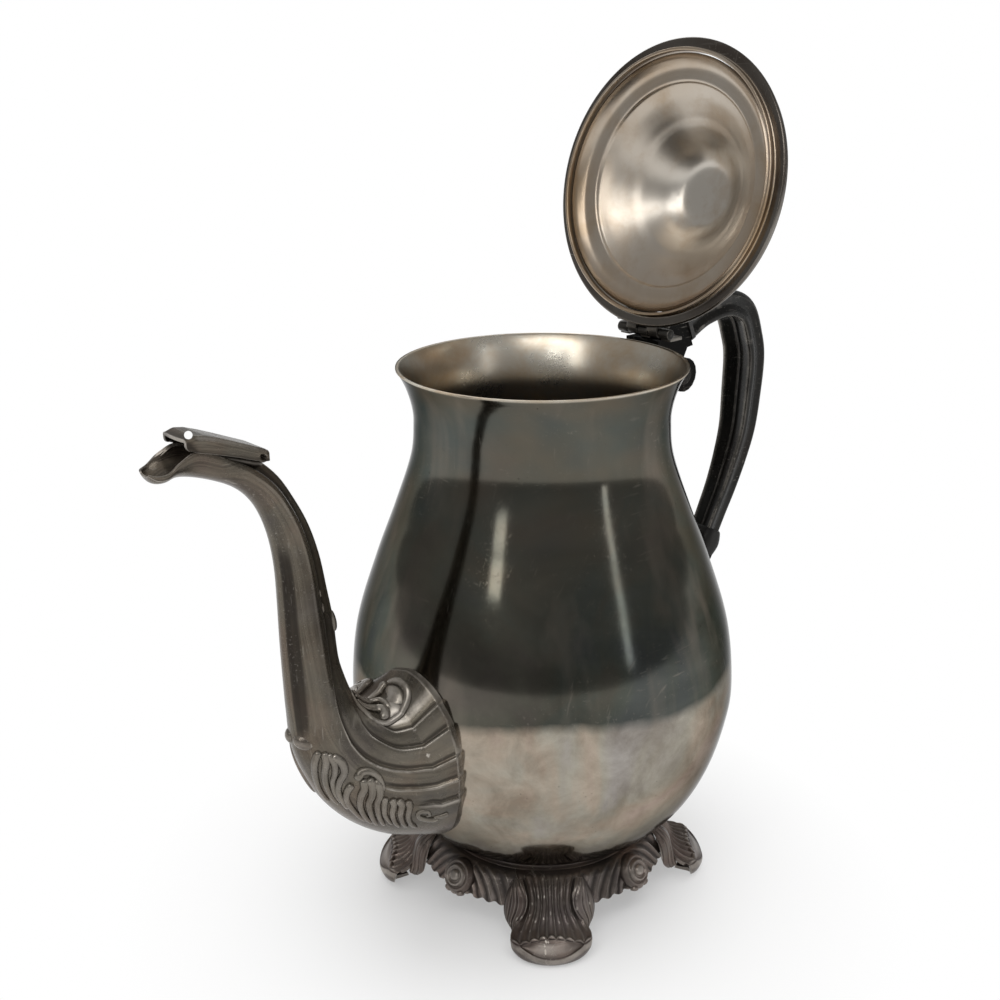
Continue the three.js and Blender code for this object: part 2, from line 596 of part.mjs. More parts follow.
// The handle's section at a place, square to a direction in the middle plane
function handleRing(place, along, widthShare, depthShare) {
  const out = new THREE.Vector3(-along.z, 0, along.x).normalize();
  return HANDLE_SECTION_SHARES.map(([outwards, sideways]) => place.clone()
    .addScaledVector(out, outwards * depthShare * HANDLE_HALF_DEPTH)
    .add(new THREE.Vector3(0, sideways * widthShare * HANDLE_HALF_WIDTH, 0)));
}

function handleForm() {
  const rings = [];
  for (let i = 0; i <= HANDLE_STEPS; i += 1) {
    const share = i / HANDLE_STEPS;
    const taper = Math.max(2 * share - 1, 0);
    rings.push(handleRing(alongHandle.getPointAt(share), alongHandle.getTangentAt(share),
      mix(1, HANDLE_END_WIDTH_SHARE, taper), mix(1, HANDLE_END_DEPTH_SHARE, taper)));
  }
  return solid(lofted(rings));
}

// The two ends of the handle, with the direction that leaves it
const rootEnd = {
  place: alongHandle.getPointAt(0), out: alongHandle.getTangentAt(0).negate(), width: 1, depth: 1,
};
const lowerEnd = {
  place: alongHandle.getPointAt(1), out: alongHandle.getTangentAt(1),
  width: HANDLE_END_WIDTH_SHARE, depth: HANDLE_END_DEPTH_SHARE,
};

function endRing(end, distance, growth) {
  const place = end.place.clone().addScaledVector(end.out, distance);
  return handleRing(place, end.out, end.width * growth, end.depth * growth);
}

function insulatorForm(end) {
  return solid(lofted([
    endRing(end, FIT_GAP, SOCKET_GROWTH), endRing(end, FIT_GAP + INSULATOR_THICKNESS, SOCKET_GROWTH)]));
}

const socketStart = INSULATOR_THICKNESS + 2 * FIT_GAP;

function dowel(end, radius, extra) {
  const half = PIN_LENGTH / 2 + extra;
  const middle = FIT_GAP + INSULATOR_THICKNESS / 2;
  return rod(radius, end.place.clone().addScaledVector(end.out, middle - half),
    end.place.clone().addScaledVector(end.out, middle + half));
}

function bored(form, end) {
  return form.subtract(solid(dowel(end, PIN_RADIUS + FIT_GAP, FIT_GAP)));
}

// The upper socket: a block behind the rim that carries the hinge, over a scroll on the neck
function upperSocketForm() {
  const face = endRing(rootEnd, socketStart, SOCKET_GROWTH);
  const heights = face.map((p) => p.z);
  const upper = face[heights.indexOf(Math.max(...heights))];
  const lower = face[heights.indexOf(Math.min(...heights))];
  const bottom = HINGE_SEAT_HEIGHT - UPPER_SOCKET_DROP;
  const place = ([out, up]) => [mix(NECK_RADIUS, lower.x, out), mix(bottom, HINGE_SEAT_HEIGHT, up)];
  const outline = UPPER_SOCKET_SHARES.map(place);
  const block = solid(sidePlate([
    ...outline, [lower.x, lower.z], [upper.x, upper.z], [HINGE_SEAT_RADIUS, HINGE_HEIGHT],
    [HINGE_SEAT_RADIUS, HINGE_SEAT_HEIGHT], [NECK_RADIUS, HINGE_SEAT_HEIGHT],
  ], UPPER_SOCKET_WIDTH));
  const [edgeX, edgeZ] = place(SCROLL_EDGE_SHARES);
  const scroll = solid(crossRod(SCROLL_RADIUS, SCROLL_WIDTH, edgeX + SCROLL_OUT_SHARE * SCROLL_RADIUS, edgeZ));
  const lidRoom = solid(new THREE.CylinderGeometry(LID_RIM_RADIUS + FIT_GAP, LID_RIM_RADIUS + FIT_GAP,
    2 * LID_RIM_HEIGHT, LID_SIDES).rotateX(Math.PI / 2).translate(0, 0, RIM_HEIGHT + LID_RIM_HEIGHT - FIT_GAP));
  return block.add(scroll).subtract(bodyFilled).subtract(lidRoom);
}

function lowerSocketForm() {
  const bodyRadius = bodyRadiusAt(LOWER_SOCKET_HEIGHT);
  const start = lowerEnd.place.clone().addScaledVector(lowerEnd.out, socketStart);
  const bend = start.clone().addScaledVector(lowerEnd.out, (start.z - LOWER_SOCKET_HEIGHT) / -lowerEnd.out.z);
  const path = new THREE.QuadraticBezierCurve3(
    start, bend, new THREE.Vector3(bodyRadius - CUT_OVERRUN, 0, LOWER_SOCKET_HEIGHT));
  const rings = [];
  for (let i = 0; i <= SOCKET_STEPS; i += 1) {
    const share = i / SOCKET_STEPS;
    rings.push(handleRing(path.getPoint(share), path.getTangent(share),
      lowerEnd.width * SOCKET_GROWTH, lowerEnd.depth * SOCKET_GROWTH));
  }
  return solid(lofted(rings)).subtract(bodyFilled);
}

// Hinge
const knuckleLength = (HINGE_LENGTH - (KNUCKLE_COUNT - 1) * FIT_GAP) / KNUCKLE_COUNT;

function knuckles(remainder, tabEnd, tabBottom) {
  const pieces = [];
  for (let i = 0; i < KNUCKLE_COUNT; i += 1) {
    if (i % 2 !== remainder) continue;
    const y = -HINGE_LENGTH / 2 + knuckleLength / 2 + i * (knuckleLength + FIT_GAP);
    pieces.push(solid(crossRod(BARREL_RADIUS, knuckleLength, HINGE_RADIUS, HINGE_HEIGHT).translate(0, y, 0)));
    const tab = sidePlate([
      [HINGE_RADIUS, tabBottom], [tabEnd, tabBottom], [tabEnd, tabBottom + LEAF_THICKNESS],
      [HINGE_RADIUS, tabBottom + LEAF_THICKNESS],
    ], knuckleLength);
    pieces.push(solid(tab.translate(0, y, 0)));
  }
  return pieces.reduce((sum, piece) => sum.add(piece));
}

function hingeLeaf(remainder, near, far, bottom, width) {
  const plate = solid(sidePlate([
    [near, bottom], [far, bottom], [far, bottom + LEAF_THICKNESS], [near, bottom + LEAF_THICKNESS],
  ], width));
  const hole = solid(crossRod(HINGE_PIN_RADIUS + PIN_CLEARANCE, HINGE_LENGTH + CUT_OVERRUN, HINGE_RADIUS,
    HINGE_HEIGHT));
  return plate.add(knuckles(remainder, near + Math.sign(far - near) * PIN_CLEARANCE, bottom)).subtract(hole);
}

// Lid, drawn closed
const lipPlane = RIM_HEIGHT + FIT_GAP - LIP_DEPTH;
const lidShellRadius = LIP_RADIUS - LIP_THICKNESS - LID_WALL - FIT_GAP;
const lidInside = LID_INSIDE_SHARES.map(([r, h]) => [r * lidShellRadius, lipPlane + h * LID_DEPTH]);
const lidOutside = offsetOutline(lidInside, -LID_WALL);
lidOutside[lidOutside.length - 1] = [0, lipPlane + LID_DEPTH + LID_WALL];
const lidTop = lipPlane + LID_DEPTH + LID_WALL;
const hingeRoom = solid(crossRod(BARREL_RADIUS + 2 * FIT_GAP, HINGE_LENGTH + 2 * FIT_GAP, HINGE_RADIUS,
  HINGE_HEIGHT));

function lidShellForm() {
  return turned([...[...lidInside].reverse(), ...lidOutside], LID_SIDES);
}

function lidRimForm() {
  const inner = LIP_RADIUS - LIP_THICKNESS;
  const ledge = lipPlane + LIP_DEPTH;
  const overhang = LID_RIM_RADIUS - LIP_RADIUS;
  const moulding = LID_RIM_SHARES.map(([out, up]) => [
    LIP_RADIUS + out * overhang, ledge + up * LID_RIM_HEIGHT]);
  const ring = solid(turned([
    [inner, lipPlane], [LIP_RADIUS, lipPlane], ...moulding, [inner, ledge + LID_RIM_HEIGHT],
  ], LID_SIDES));
  return ring.subtract(hingeRoom);
}

function finialPart(shares, radius, height, bottom) {
  return turned(shares.map(([r, h]) => [r * radius, bottom + h * height]), FINIAL_SIDES);
}

// Finishes
const finish = (color, roughness) => new THREE.MeshStandardMaterial({ color, roughness, metalness: 1 });
const finishes = {
  body: finish(0x5f605c, 0.22),
  casting: finish(0x4a423c, 0.4),
  spout: finish(0x6b625a, 0.3),
  handle: finish(0x3a3937, 0.38),
  lid: finish(0xa59c8e, 0.25),
  insulator: new THREE.MeshStandardMaterial({ color: 0x1d1b19, roughness: 0.55, metalness: 0 }),
};

function piece(name, form, material) {
  const geometry = form instanceof THREE.BufferGeometry ? closed(form) : geometryOf(form);
  const mesh = new THREE.Mesh(geometry, finishes[material]);
  mesh.name = name;
  return mesh;
}

// The pot, drawn about the body's own axis
const pot = new THREE.Group();
pot.add(piece("vessel", vesselSolid(), "body"));
pot.add(piece("bottom_disc", bottomDisc(), "body"));
pot.add(piece("foot_collar", collarSolid(), "casting"));

const corners = ["handle_left", "spout_left", "spout_right", "handle_right"];
const quarters = ["left", "spout", "right", "handle"];
const foot = footSolid();
const skirt = skirtSolid();
for (let i = 0; i < FOOT_COUNT; i += 1) {
  const turn = radians(FOOT_TURN_DEG) + (i + 0.5) * 2 * Math.PI / FOOT_COUNT;
  const footMesh = piece(`foot_${corners[i]}`, foot, "casting");
  footMesh.rotation.z = turn;
  const skirtMesh = piece(`skirt_${quarters[i]}`, skirt, "casting");
  skirtMesh.rotation.z = turn + Math.PI / FOOT_COUNT;
  pot.add(footMesh, skirtMesh);
}

const spout = spoutSolid();
pot.add(piece("spout_half_left", spoutHalf(spout, 1), "spout"));
pot.add(piece("spout_half_right", spoutHalf(spout, -1), "spout"));
pot.add(piece("spout_hood", hoodSolid(), "spout"));

pot.add(piece("handle_grip", bored(bored(handleForm(), rootEnd), lowerEnd), "handle"));
pot.add(piece("upper_insulator", bored(insulatorForm(rootEnd), rootEnd), "insulator"));
pot.add(piece("lower_insulator", bored(insulatorForm(lowerEnd), lowerEnd), "insulator"));
pot.add(piece("upper_handle_socket", bored(upperSocketForm(), rootEnd), "handle"));
pot.add(piece("lower_handle_socket", bored(lowerSocketForm(), lowerEnd), "handle"));
pot.add(piece("upper_handle_pin", dowel(rootEnd, PIN_RADIUS, 0), "handle"));
pot.add(piece("lower_handle_pin", dowel(lowerEnd, PIN_RADIUS, 0), "handle"));

// Hinge pieces that stay with the pot
const leafStart = BARREL_RADIUS + FIT_GAP;
const bodyLeafBottom = HINGE_SEAT_HEIGHT + FIT_GAP;
pot.add(piece("hinge_body_leaf", hingeLeaf(0, HINGE_RADIUS + leafStart, HINGE_SEAT_RADIUS - FIT_GAP,
  bodyLeafBottom, HINGE_LENGTH), "handle"));
pot.add(piece("hinge_pin", crossRod(HINGE_PIN_RADIUS, HINGE_LENGTH, HINGE_RADIUS, HINGE_HEIGHT), "handle"));

// The lid swings about the hinge, and is drawn closed inside its own group
const lidSwing = new THREE.Group();
lidSwing.position.set(HINGE_RADIUS, 0, HINGE_HEIGHT);
lidSwing.rotation.y = radians(LID_OPEN_DEG);
const lid = new THREE.Group();
lid.position.set(-HINGE_RADIUS, 0, -HINGE_HEIGHT);
const lidLeafBottom = lipPlane + LIP_DEPTH + LID_RIM_HEIGHT + FIT_GAP;
lid.add(piece("lid_shell", lidShellForm(), "lid"));
lid.add(piece("lid_rim", lidRimForm(), "lid"));
lid.add(piece("hinge_lid_leaf", hingeLeaf(1, HINGE_RADIUS - leafStart, lidShellRadius,
  lidLeafBottom, HINGE_LENGTH), "handle"));
const finialBaseBottom = lidTop + FIT_GAP;
const finialBottom = finialBaseBottom + FINIAL_BASE_HEIGHT + FIT_GAP;
lid.add(piece("finial_base", finialPart(FINIAL_BASE_SHARES, FINIAL_BASE_RADIUS, FINIAL_BASE_HEIGHT,
  finialBaseBottom), "lid"));
lid.add(piece("finial_knob", finialPart(FINIAL_KNOB_SHARES, FINIAL_RADIUS, FINIAL_HEIGHT, finialBottom), "lid"));
lidSwing.add(lid);
pot.add(lidSwing);

// The frame's origin is the middle of the whole outline, on the surface that it stands on
const reach = new THREE.Box3().setFromObject(pot);
pot.position.set(-(reach.min.x + reach.max.x) / 2, -(reach.min.y + reach.max.y) / 2, -reach.min.z);

export default pot;
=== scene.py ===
import json
import math
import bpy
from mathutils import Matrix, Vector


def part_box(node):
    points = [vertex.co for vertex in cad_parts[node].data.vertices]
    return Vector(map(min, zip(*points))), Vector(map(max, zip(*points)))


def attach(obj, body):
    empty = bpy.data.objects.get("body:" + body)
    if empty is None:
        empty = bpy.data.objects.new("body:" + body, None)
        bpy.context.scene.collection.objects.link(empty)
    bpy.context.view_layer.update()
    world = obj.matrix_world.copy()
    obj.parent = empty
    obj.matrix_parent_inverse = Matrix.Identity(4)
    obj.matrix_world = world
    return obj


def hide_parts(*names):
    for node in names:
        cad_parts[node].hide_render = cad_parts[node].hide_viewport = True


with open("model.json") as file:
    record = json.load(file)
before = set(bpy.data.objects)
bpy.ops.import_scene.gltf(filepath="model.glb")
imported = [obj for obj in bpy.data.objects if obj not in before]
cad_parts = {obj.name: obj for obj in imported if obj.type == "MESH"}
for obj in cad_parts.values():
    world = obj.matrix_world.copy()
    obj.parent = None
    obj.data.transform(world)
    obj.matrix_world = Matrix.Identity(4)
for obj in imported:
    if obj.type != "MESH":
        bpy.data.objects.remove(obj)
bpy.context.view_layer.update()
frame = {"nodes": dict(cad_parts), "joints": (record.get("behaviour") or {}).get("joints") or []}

from types import SimpleNamespace

import bmesh
import bpy
from bpy.props import FloatProperty, FloatVectorProperty, PointerProperty
from mathutils import Matrix, Vector

bl_info = {
    "name": "Footed Pot Builder",
    "version": (1, 0, 0),
    "blender": (4, 5, 0),
    "location": "3D View > Sidebar > Footed Pot",
    "description": "Builds the visible pieces of a footed silver-plated pot with a hinged lid",
    "category": "Object",
}

MM = 0.001
WELD = 0.02 * MM
SHARP_AFTER_CUT = 40.0

# The pot's own axis in metres, its rim and its hinge in millimetres about that axis, and the lid's open turn
VESSEL_LOW, VESSEL_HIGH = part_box("vessel")
AXIS_X = (VESSEL_LOW.x + VESSEL_HIGH.x) / 2
RIM_TOP = VESSEL_HIGH.z / MM
HINGE = frame["joints"][0]
HINGE_AT = (HINGE["pos_m"][0] / MM - AXIS_X / MM, HINGE["pos_m"][2] / MM)
OPEN_TURN = math.radians(HINGE["range_deg"][1])

# The camera's place, its right, up and backward directions, and its focal length in widths of the picture
CAMERA_AT = (-0.296072, -0.327108, 0.3111)
CAMERA_AXES = ((0.74429, -0.66780, -0.00869), (0.22543, 0.23896, 0.94450), (-0.62866, -0.70494, 0.32839))
SENSOR_WIDTH, LENS_SHARE = 36.0, 1.3244


# Places and lines

def at(x, y, z):
    """A place in the frame, from millimetres about the pot's own axis."""
    return Vector((AXIS_X + x * MM, y * MM, z * MM))


def mix(a, b, share):
    return a + (b - a) * share


def clamped(value):
    return min(max(value, 0.0), 1.0)


def smooth(low, high, value):
    """Rises softly from 0 to 1 between low and high."""
    share = clamped((value - low) / (high - low))
    return share * share * (3 - 2 * share)


def bump(value, middle, width):
    """A soft ridge of height 1 round the middle."""
    return math.exp(-((value - middle) / width) ** 2)


def spline(points, share):
    """The place at a share of a smooth line through points, with even steps between them."""
    last = len(points) - 1
    where = clamped(share) * last
    i = min(int(where), last - 1)
    t = where - i
    near = [points[min(max(k, 0), last)] for k in (i - 1, i, i + 1, i + 2)]
    return tuple(
        0.5 * (2 * b + (c - a) * t + (2 * a - 5 * b + 4 * c - d) * t * t + (3 * b - a - 3 * c + d) * t ** 3)
        for a, b, c, d in zip(*near)
    )


def smoothed(points, count):
    """A smooth line through points, cut in a number of steps."""
    return [spline(points, i / count) for i in range(count + 1)]


def even_line(points, count):
    """A smooth line through points, cut in steps of equal length."""
    fine = smoothed(points, 400)
    lengths = [0.0]
    for a, b in zip(fine, fine[1:]):
        lengths.append(lengths[-1] + math.dist(a, b))
    line = []
    k = 0
    for i in range(count + 1):
        target = lengths[-1] * i / count
        while k < 399 and lengths[k + 1] < target:
            k += 1
        step = lengths[k + 1] - lengths[k]
        share = (target - lengths[k]) / step if step else 0.0
        line.append(tuple(mix(p, q, share) for p, q in zip(fine[k], fine[k + 1])))
    return line


def arc(cx, cz, radius, start, end, count):
    """Points of an arc, with its angles in degrees."""
    turns = (math.radians(mix(start, end, i / count)) for i in range(count + 1))
    return [(cx + radius * math.cos(t), cz + radius * math.sin(t)) for t in turns]


# Mesh helpers

def as_mesh(name, bm):
    """Turns a bmesh into a mesh and frees it."""
    mesh = bpy.data.meshes.new(name)
    bm.to_mesh(mesh)
    bm.free()
    return mesh


def shown(name, data):
    """An object of the scene that shows the data."""
    obj = bpy.data.objects.new(name, data)
    bpy.context.scene.collection.objects.link(obj)
    return obj


def finish_piece(name, bm, body, slot, nodes=(), sharp=40.0, turned_out=False, material=None):
    """Makes a piece from a bmesh that is already in place, and lets it ride on its body.

    Its material is the one that is named like its slot, unless another is given.
    """
    if not turned_out:
        bmesh.ops.recalc_face_normals(bm, faces=bm.faces)
    if bm.verts.layers.float.get("relief") is None:
        worn_edges(bm)
    mesh = as_mesh(name, bm)
    mesh.shade_smooth()
    mesh.set_sharp_from_angle(angle=math.radians(sharp))
    mesh.materials.append(MATERIALS[material or slot])
    obj = shown(name, mesh)
    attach(obj, body)
    if nodes:
        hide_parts(*nodes)
    return obj


def worn_edges(bm):
    """Marks the sharper edges of a plain piece as rubbed."""
    relief = bm.verts.layers.float.new("relief")
    for vert in bm.verts:
        bend = max((e.calc_face_angle(0) for e in vert.link_edges if len(e.link_faces) == 2), default=0)
        vert[relief] = 0.42 + 0.4 * smooth(0.2, 0.6, bend)


def spun(outline, steps=128, where=at, closed=True):
    """An outline of radius and height pairs turned about the pot's axis, or about a piece's own."""
    bm = bmesh.new()
    verts = [bm.verts.new(where(r, 0, z)) for r, z in outline]
    edges = [bm.edges.new(pair) for pair in zip(verts, verts[1:])]
    if closed and (outline[0][0] > 0 or outline[-1][0] > 0):
        edges.append(bm.edges.new((verts[-1], verts[0])))
    bmesh.ops.spin(bm, geom=verts + edges, cent=where(0, 0, 0), axis=(0, 0, 1), angle=math.tau,
                   steps=steps, use_merge=True, use_duplicate=False)
    bmesh.ops.remove_doubles(bm, verts=bm.verts, dist=WELD)
    return bm


def carried(bm, matrix):
    """Moves the whole of a bmesh."""
    bmesh.ops.transform(bm, matrix=matrix, verts=bm.verts)
    return bm


def formed(columns, rows, place, closed=False):
    """A grid whose points take their place and their relief from a surface of two shares."""
    bm = bmesh.new()
    relief, around, along = (bm.verts.layers.float.new(key) for key in ("relief", "around", "along"))
    bmesh.ops.create_grid(bm, x_segments=columns, y_segments=rows, size=0.5)
    for vert in bm.verts:
        u, v = vert.co.x + 0.5, vert.co.y + 0.5
        point, height = place(u, v)
        vert.co = at(*point)
        vert[relief], vert[around], vert[along] = height, 1 - abs(2 * u - 1), v
    if closed:
        bmesh.ops.remove_doubles(bm, verts=bm.verts, dist=WELD)
    return bm


def solidified(bm, wall, facing, share=lambda place: 1.0):
    """Gives a sheet a wall on its inner side; facing is positive for the faces that already look outwards."""
    bmesh.ops.recalc_face_normals(bm, faces=bm.faces)
    if sum(facing(face.calc_center_median() / MM, face.normal) for face in bm.faces) < 0:
        bmesh.ops.reverse_faces(bm, faces=bm.faces)
    bm.normal_update()
    out = bm.verts.layers.float_vector.new("out")
    for vert in bm.verts:
        vert[out] = vert.normal * share(vert.co / MM)
    moved = bmesh.ops.extrude_face_region(bm, geom=list(bm.faces))
    for vert in moved["geom"]:
        if isinstance(vert, bmesh.types.BMVert):
            vert.co -= vert[out] * (wall * MM)
    bm.verts.layers.float_vector.remove(out)
    bmesh.ops.recalc_face_normals(bm, faces=bm.faces)


def joined(bm, other):
    """Adds another bmesh to bm."""
    mesh = as_mesh("spare", other)
    bm.from_mesh(mesh)
    bpy.data.meshes.remove(mesh)


def close_holes(bm):
    edges = [e for e in bm.edges if e.is_boundary]
    bmesh.ops.holes_fill(bm, edges=edges, sides=0)


def closed_form(columns, rows, place):
    """A tube that runs round a surface of two shares, with its ends closed."""
    bm = formed(columns, rows, place, True)
    close_holes(bm)
    return bm


def softened(bm, width, segments=3, angle=30.0):
    """Rounds the edges that are sharper than an angle."""
    edges = [e for e in bm.edges if len(e.link_faces) == 2 and e.calc_face_angle(0) > math.radians(angle)]
    bmesh.ops.bevel(bm, geom=edges, offset=width * MM, affect="EDGES", segments=segments, profile=0.5,
                    material=-1, clamp_overlap=True)
    return bm


def slab(outline, thickness):
    """A flat outline of places with a thickness, given as a vector in millimetres."""
    bm = bmesh.new()
    face = bm.faces.new([bm.verts.new(at(*place)) for place in outline])
    moved = bmesh.ops.extrude_face_region(bm, geom=[face])
    verts = [g for g in moved["geom"] if isinstance(g, bmesh.types.BMVert)]
    bmesh.ops.translate(bm, verts=verts, vec=Vector(thickness) * MM)
    bmesh.ops.recalc_face_normals(bm, faces=bm.faces)
    return bm


def add_rod(bm, radius, length, matrix, segments):
    """Adds a rod with flat ends; its middle and its length's direction are the matrix's place and Z axis."""
    bmesh.ops.create_cone(bm, cap_ends=True, cap_tris=False, segments=segments, radius1=radius * MM,
                          radius2=radius * MM, depth=length * MM, matrix=matrix)
    return bm


def cross_rod(radius, length, x, y, z, segments=32):
    """A rod along Y, about a place in millimetres."""
    turn = Matrix.Translation(at(x, y, z)) @ Matrix.Rotation(math.pi / 2, 4, "X")
    return add_rod(bmesh.new(), radius, length, turn, segments)


def swung():
    """The turn that opens the lid about its hinge."""
    place = Matrix.Translation(at(HINGE_AT[0], 0, HINGE_AT[1]))
    return place @ Matrix.Rotation(OPEN_TURN, 4, "Y") @ place.inverted()


def turned_to(degrees):
    """The turn about the pot's own axis."""
    middle = Matrix.Translation(at(0, 0, 0))
    return middle @ Matrix.Rotation(math.radians(degrees), 4, "Z") @ middle.inverted()


def cut_with(obj, cutter, name):
    """Cuts a tool mesh out of a piece, keeps the result as its mesh and marks its sharp edges again."""
    bmesh.ops.recalc_face_normals(cutter, faces=cutter.faces)
    mesh = as_mesh(name, cutter)
    tool = shown(name, mesh)
    cut = obj.modifiers.new("cut", "BOOLEAN")
    cut.operation = "DIFFERENCE"
    cut.solver = "EXACT"
    cut.object = tool
    graph = bpy.context.evaluated_depsgraph_get()
    result = bpy.data.meshes.new_from_object(obj.evaluated_get(graph), depsgraph=graph)
    obj.modifiers.clear()
    old = obj.data
    obj.data = result
    result.name = obj.name
    bpy.data.meshes.remove(old)
    bpy.data.objects.remove(tool)
    bpy.data.meshes.remove(mesh)
    result.set_sharp_from_angle(angle=math.radians(SHARP_AFTER_CUT))


# Node helpers

def new_group(name, inputs, outputs):
    """A shader node group with named sockets; returns it with its input and output nodes."""
    group = bpy.data.node_groups.new(name, "ShaderNodeTree")
    for label, kind, value in inputs:
        socket = group.interface.new_socket(label, in_out="INPUT", socket_type=kind)
        if value is not None:
            socket.default_value = value
    for label, kind in outputs:
        group.interface.new_socket(label, in_out="OUTPUT", socket_type=kind)
    return group, group.nodes.new("NodeGroupInput"), group.nodes.new("NodeGroupOutput")


class Wiring:
    """Short words for adding and joining nodes in one tree."""

    def __init__(self, tree):
        self.tree = tree

    def node(self, kind, links=(), **values):
        node = self.tree.nodes.new(kind)
        for key, value in values.items():
            setattr(node, key, value)
        for socket, source in links:
            self.join(source, node.inputs[socket])
        return node

    def join(self, source, target):
        if isinstance(source, (int, float, tuple)):
            target.default_value = source
        else:
            self.tree.links.new(source, target)

    def maths(self, operation, a, b=0.0, clamp=False):
        node = self.node("ShaderNodeMath", ((0, a), (1, b)), operation=operation, use_clamp=clamp)
        return node.outputs[0]

    def times(self, a, b):
        return self.maths("MULTIPLY", a, b)

    def plus(self, a, b):
        return self.maths("ADD", a, b)

    def stored(self, name):
        """A value that the mesh holds at each of its points."""
        return self.node("ShaderNodeAttribute", attribute_name=name).outputs["Fac"]

    def fill(self, node, sources):
        for label, source in sources.items():
            self.join(source, node.inputs[label])

    def rise(self, source, low, high):
        """Runs from 0 at low to 1 at high."""
        return self.ramp(source, (low, 0.0), (high, 1.0))

    def ramp(self, source, *stops):
        node = self.node("ShaderNodeValToRGB", ((0, source),))
        ramp = node.color_ramp
        while len(ramp.elements) < len(stops):
            ramp.elements.new(1.0)
        for element, (place, value) in zip(ramp.elements, stops):
            element.position = place
            element.color = (value, value, value, 1) if isinstance(value, (int, float)) else (*value, 1)
        return node.outputs["Color"]

    def mixed(self, share, a, b, blend="MIX"):
        node = self.tree.nodes.new("ShaderNodeMix")
        node.data_type = "RGBA"
        node.blend_type = blend
        self.join(share, node.inputs["Factor"])
        for socket, source in ((node.inputs[6], a), (node.inputs[7], b)):
            self.join((*source, 1.0) if isinstance(source, tuple) and len(source) == 3 else source, socket)
        return node.outputs[2]

    def noise(self, vector, scale, detail=4.0, roughness=0.55, distortion=0.0):
        node = self.node("ShaderNodeTexNoise", (("Vector", vector), ("Scale", scale), ("Detail", detail),
                                                ("Roughness", roughness), ("Distortion", distortion)))
        return node.outputs["Fac"]

    def stretched(self, vector, scale, turn=(0.0, 0.0, 0.0)):
        links = (("Vector", vector), ("Scale", scale), ("Rotation", turn))
        return self.node("ShaderNodeMapping", links).outputs["Vector"]

    def bumped(self, height, strength, distance, normal=None):
        links = [("Height", height), ("Strength", strength), ("Distance", distance)]
        if normal is not None:
            links.append(("Normal", normal))
        return self.node("ShaderNodeBump", links).outputs["Normal"]


def scaled_place(w, given):
    """A group's place times its scale."""
    links = ((0, given.outputs["Vector"]), ("Scale", given.outputs["Scale"]))
    return w.node("ShaderNodeVectorMath", links, operation="SCALE").outputs[0]


def scratches_group():
    """Fine random scratches and small pits: a mask for the scratches, one for the pits, and their height."""
    group, given, out = new_group(
        "Plate Scratches",
        (("Vector", "NodeSocketVector", None), ("Scale", "NodeSocketFloat", 1.0),
         ("Amount", "NodeSocketFloat", 0.5)),
        (("Scratches", "NodeSocketFloat"), ("Pits", "NodeSocketFloat"), ("Height", "NodeSocketFloat")))
    w = Wiring(group)
    base = scaled_place(w, given)
    lines = 0.0
    for turn, size in (((0.3, 0.9, 0.2), (90, 1400, 90)), ((1.1, 0.2, 0.8), (70, 1100, 1100)),
                       ((0.7, 1.9, 1.4), (1200, 60, 900))):
        noise = w.noise(w.stretched(base, size, turn), 1.0, 2.0, 0.5)
        lines = w.maths("MAXIMUM", lines, w.rise(noise, 0.66, 0.72))
    patches = w.rise(w.noise(base, 38.0, 3.0), 0.45, 0.7)
    scratches = w.times(w.times(lines, patches), given.outputs["Amount"])
    cells = w.node("ShaderNodeTexVoronoi", (("Vector", base), ("Scale", 520.0), ("Randomness", 1.0)))
    spots = w.ramp(cells.outputs["Distance"], (0.08, 1.0), (0.16, 0.0))
    rare = w.rise(w.noise(base, 95.0, 2.0), 0.6, 0.68)
    pits = w.times(w.times(spots, rare), given.outputs["Amount"])
    height = w.maths("SUBTRACT", w.times(scratches, -0.4), pits)
    w.fill(out, {"Scratches": scratches, "Pits": pits, "Height": height})
    return group


def tarnish_group():
    """Cloudy tarnish: a broad cloud, smaller blotches, fine grain and an iridescent tint."""
    group, given, out = new_group(
        "Plate Tarnish",
        (("Vector", "NodeSocketVector", None), ("Scale", "NodeSocketFloat", 1.0)),
        (("Cloud", "NodeSocketFloat"), ("Blotches", "NodeSocketFloat"), ("Grain", "NodeSocketFloat"),
         ("Tint", "NodeSocketColor")))
    w = Wiring(group)
    base = scaled_place(w, given)
    cloud = w.noise(base, 14.0, 5.0, 0.6, 0.6)
    blotches = w.noise(base, 60.0, 6.0, 0.65, 0.3)
    grain = w.noise(base, 650.0, 4.0, 0.6)
    tint = w.ramp(w.noise(base, 24.0, 3.0, 0.5, 1.2), (0.3, (0.75, 0.86, 1.0)), (0.44, (0.85, 0.97, 0.92)),
                  (0.56, (1.0, 0.93, 0.8)), (0.7, (1.0, 0.82, 0.78)))
    w.fill(out, {"Cloud": cloud, "Blotches": blotches, "Grain": grain, "Tint": tint})
    return group


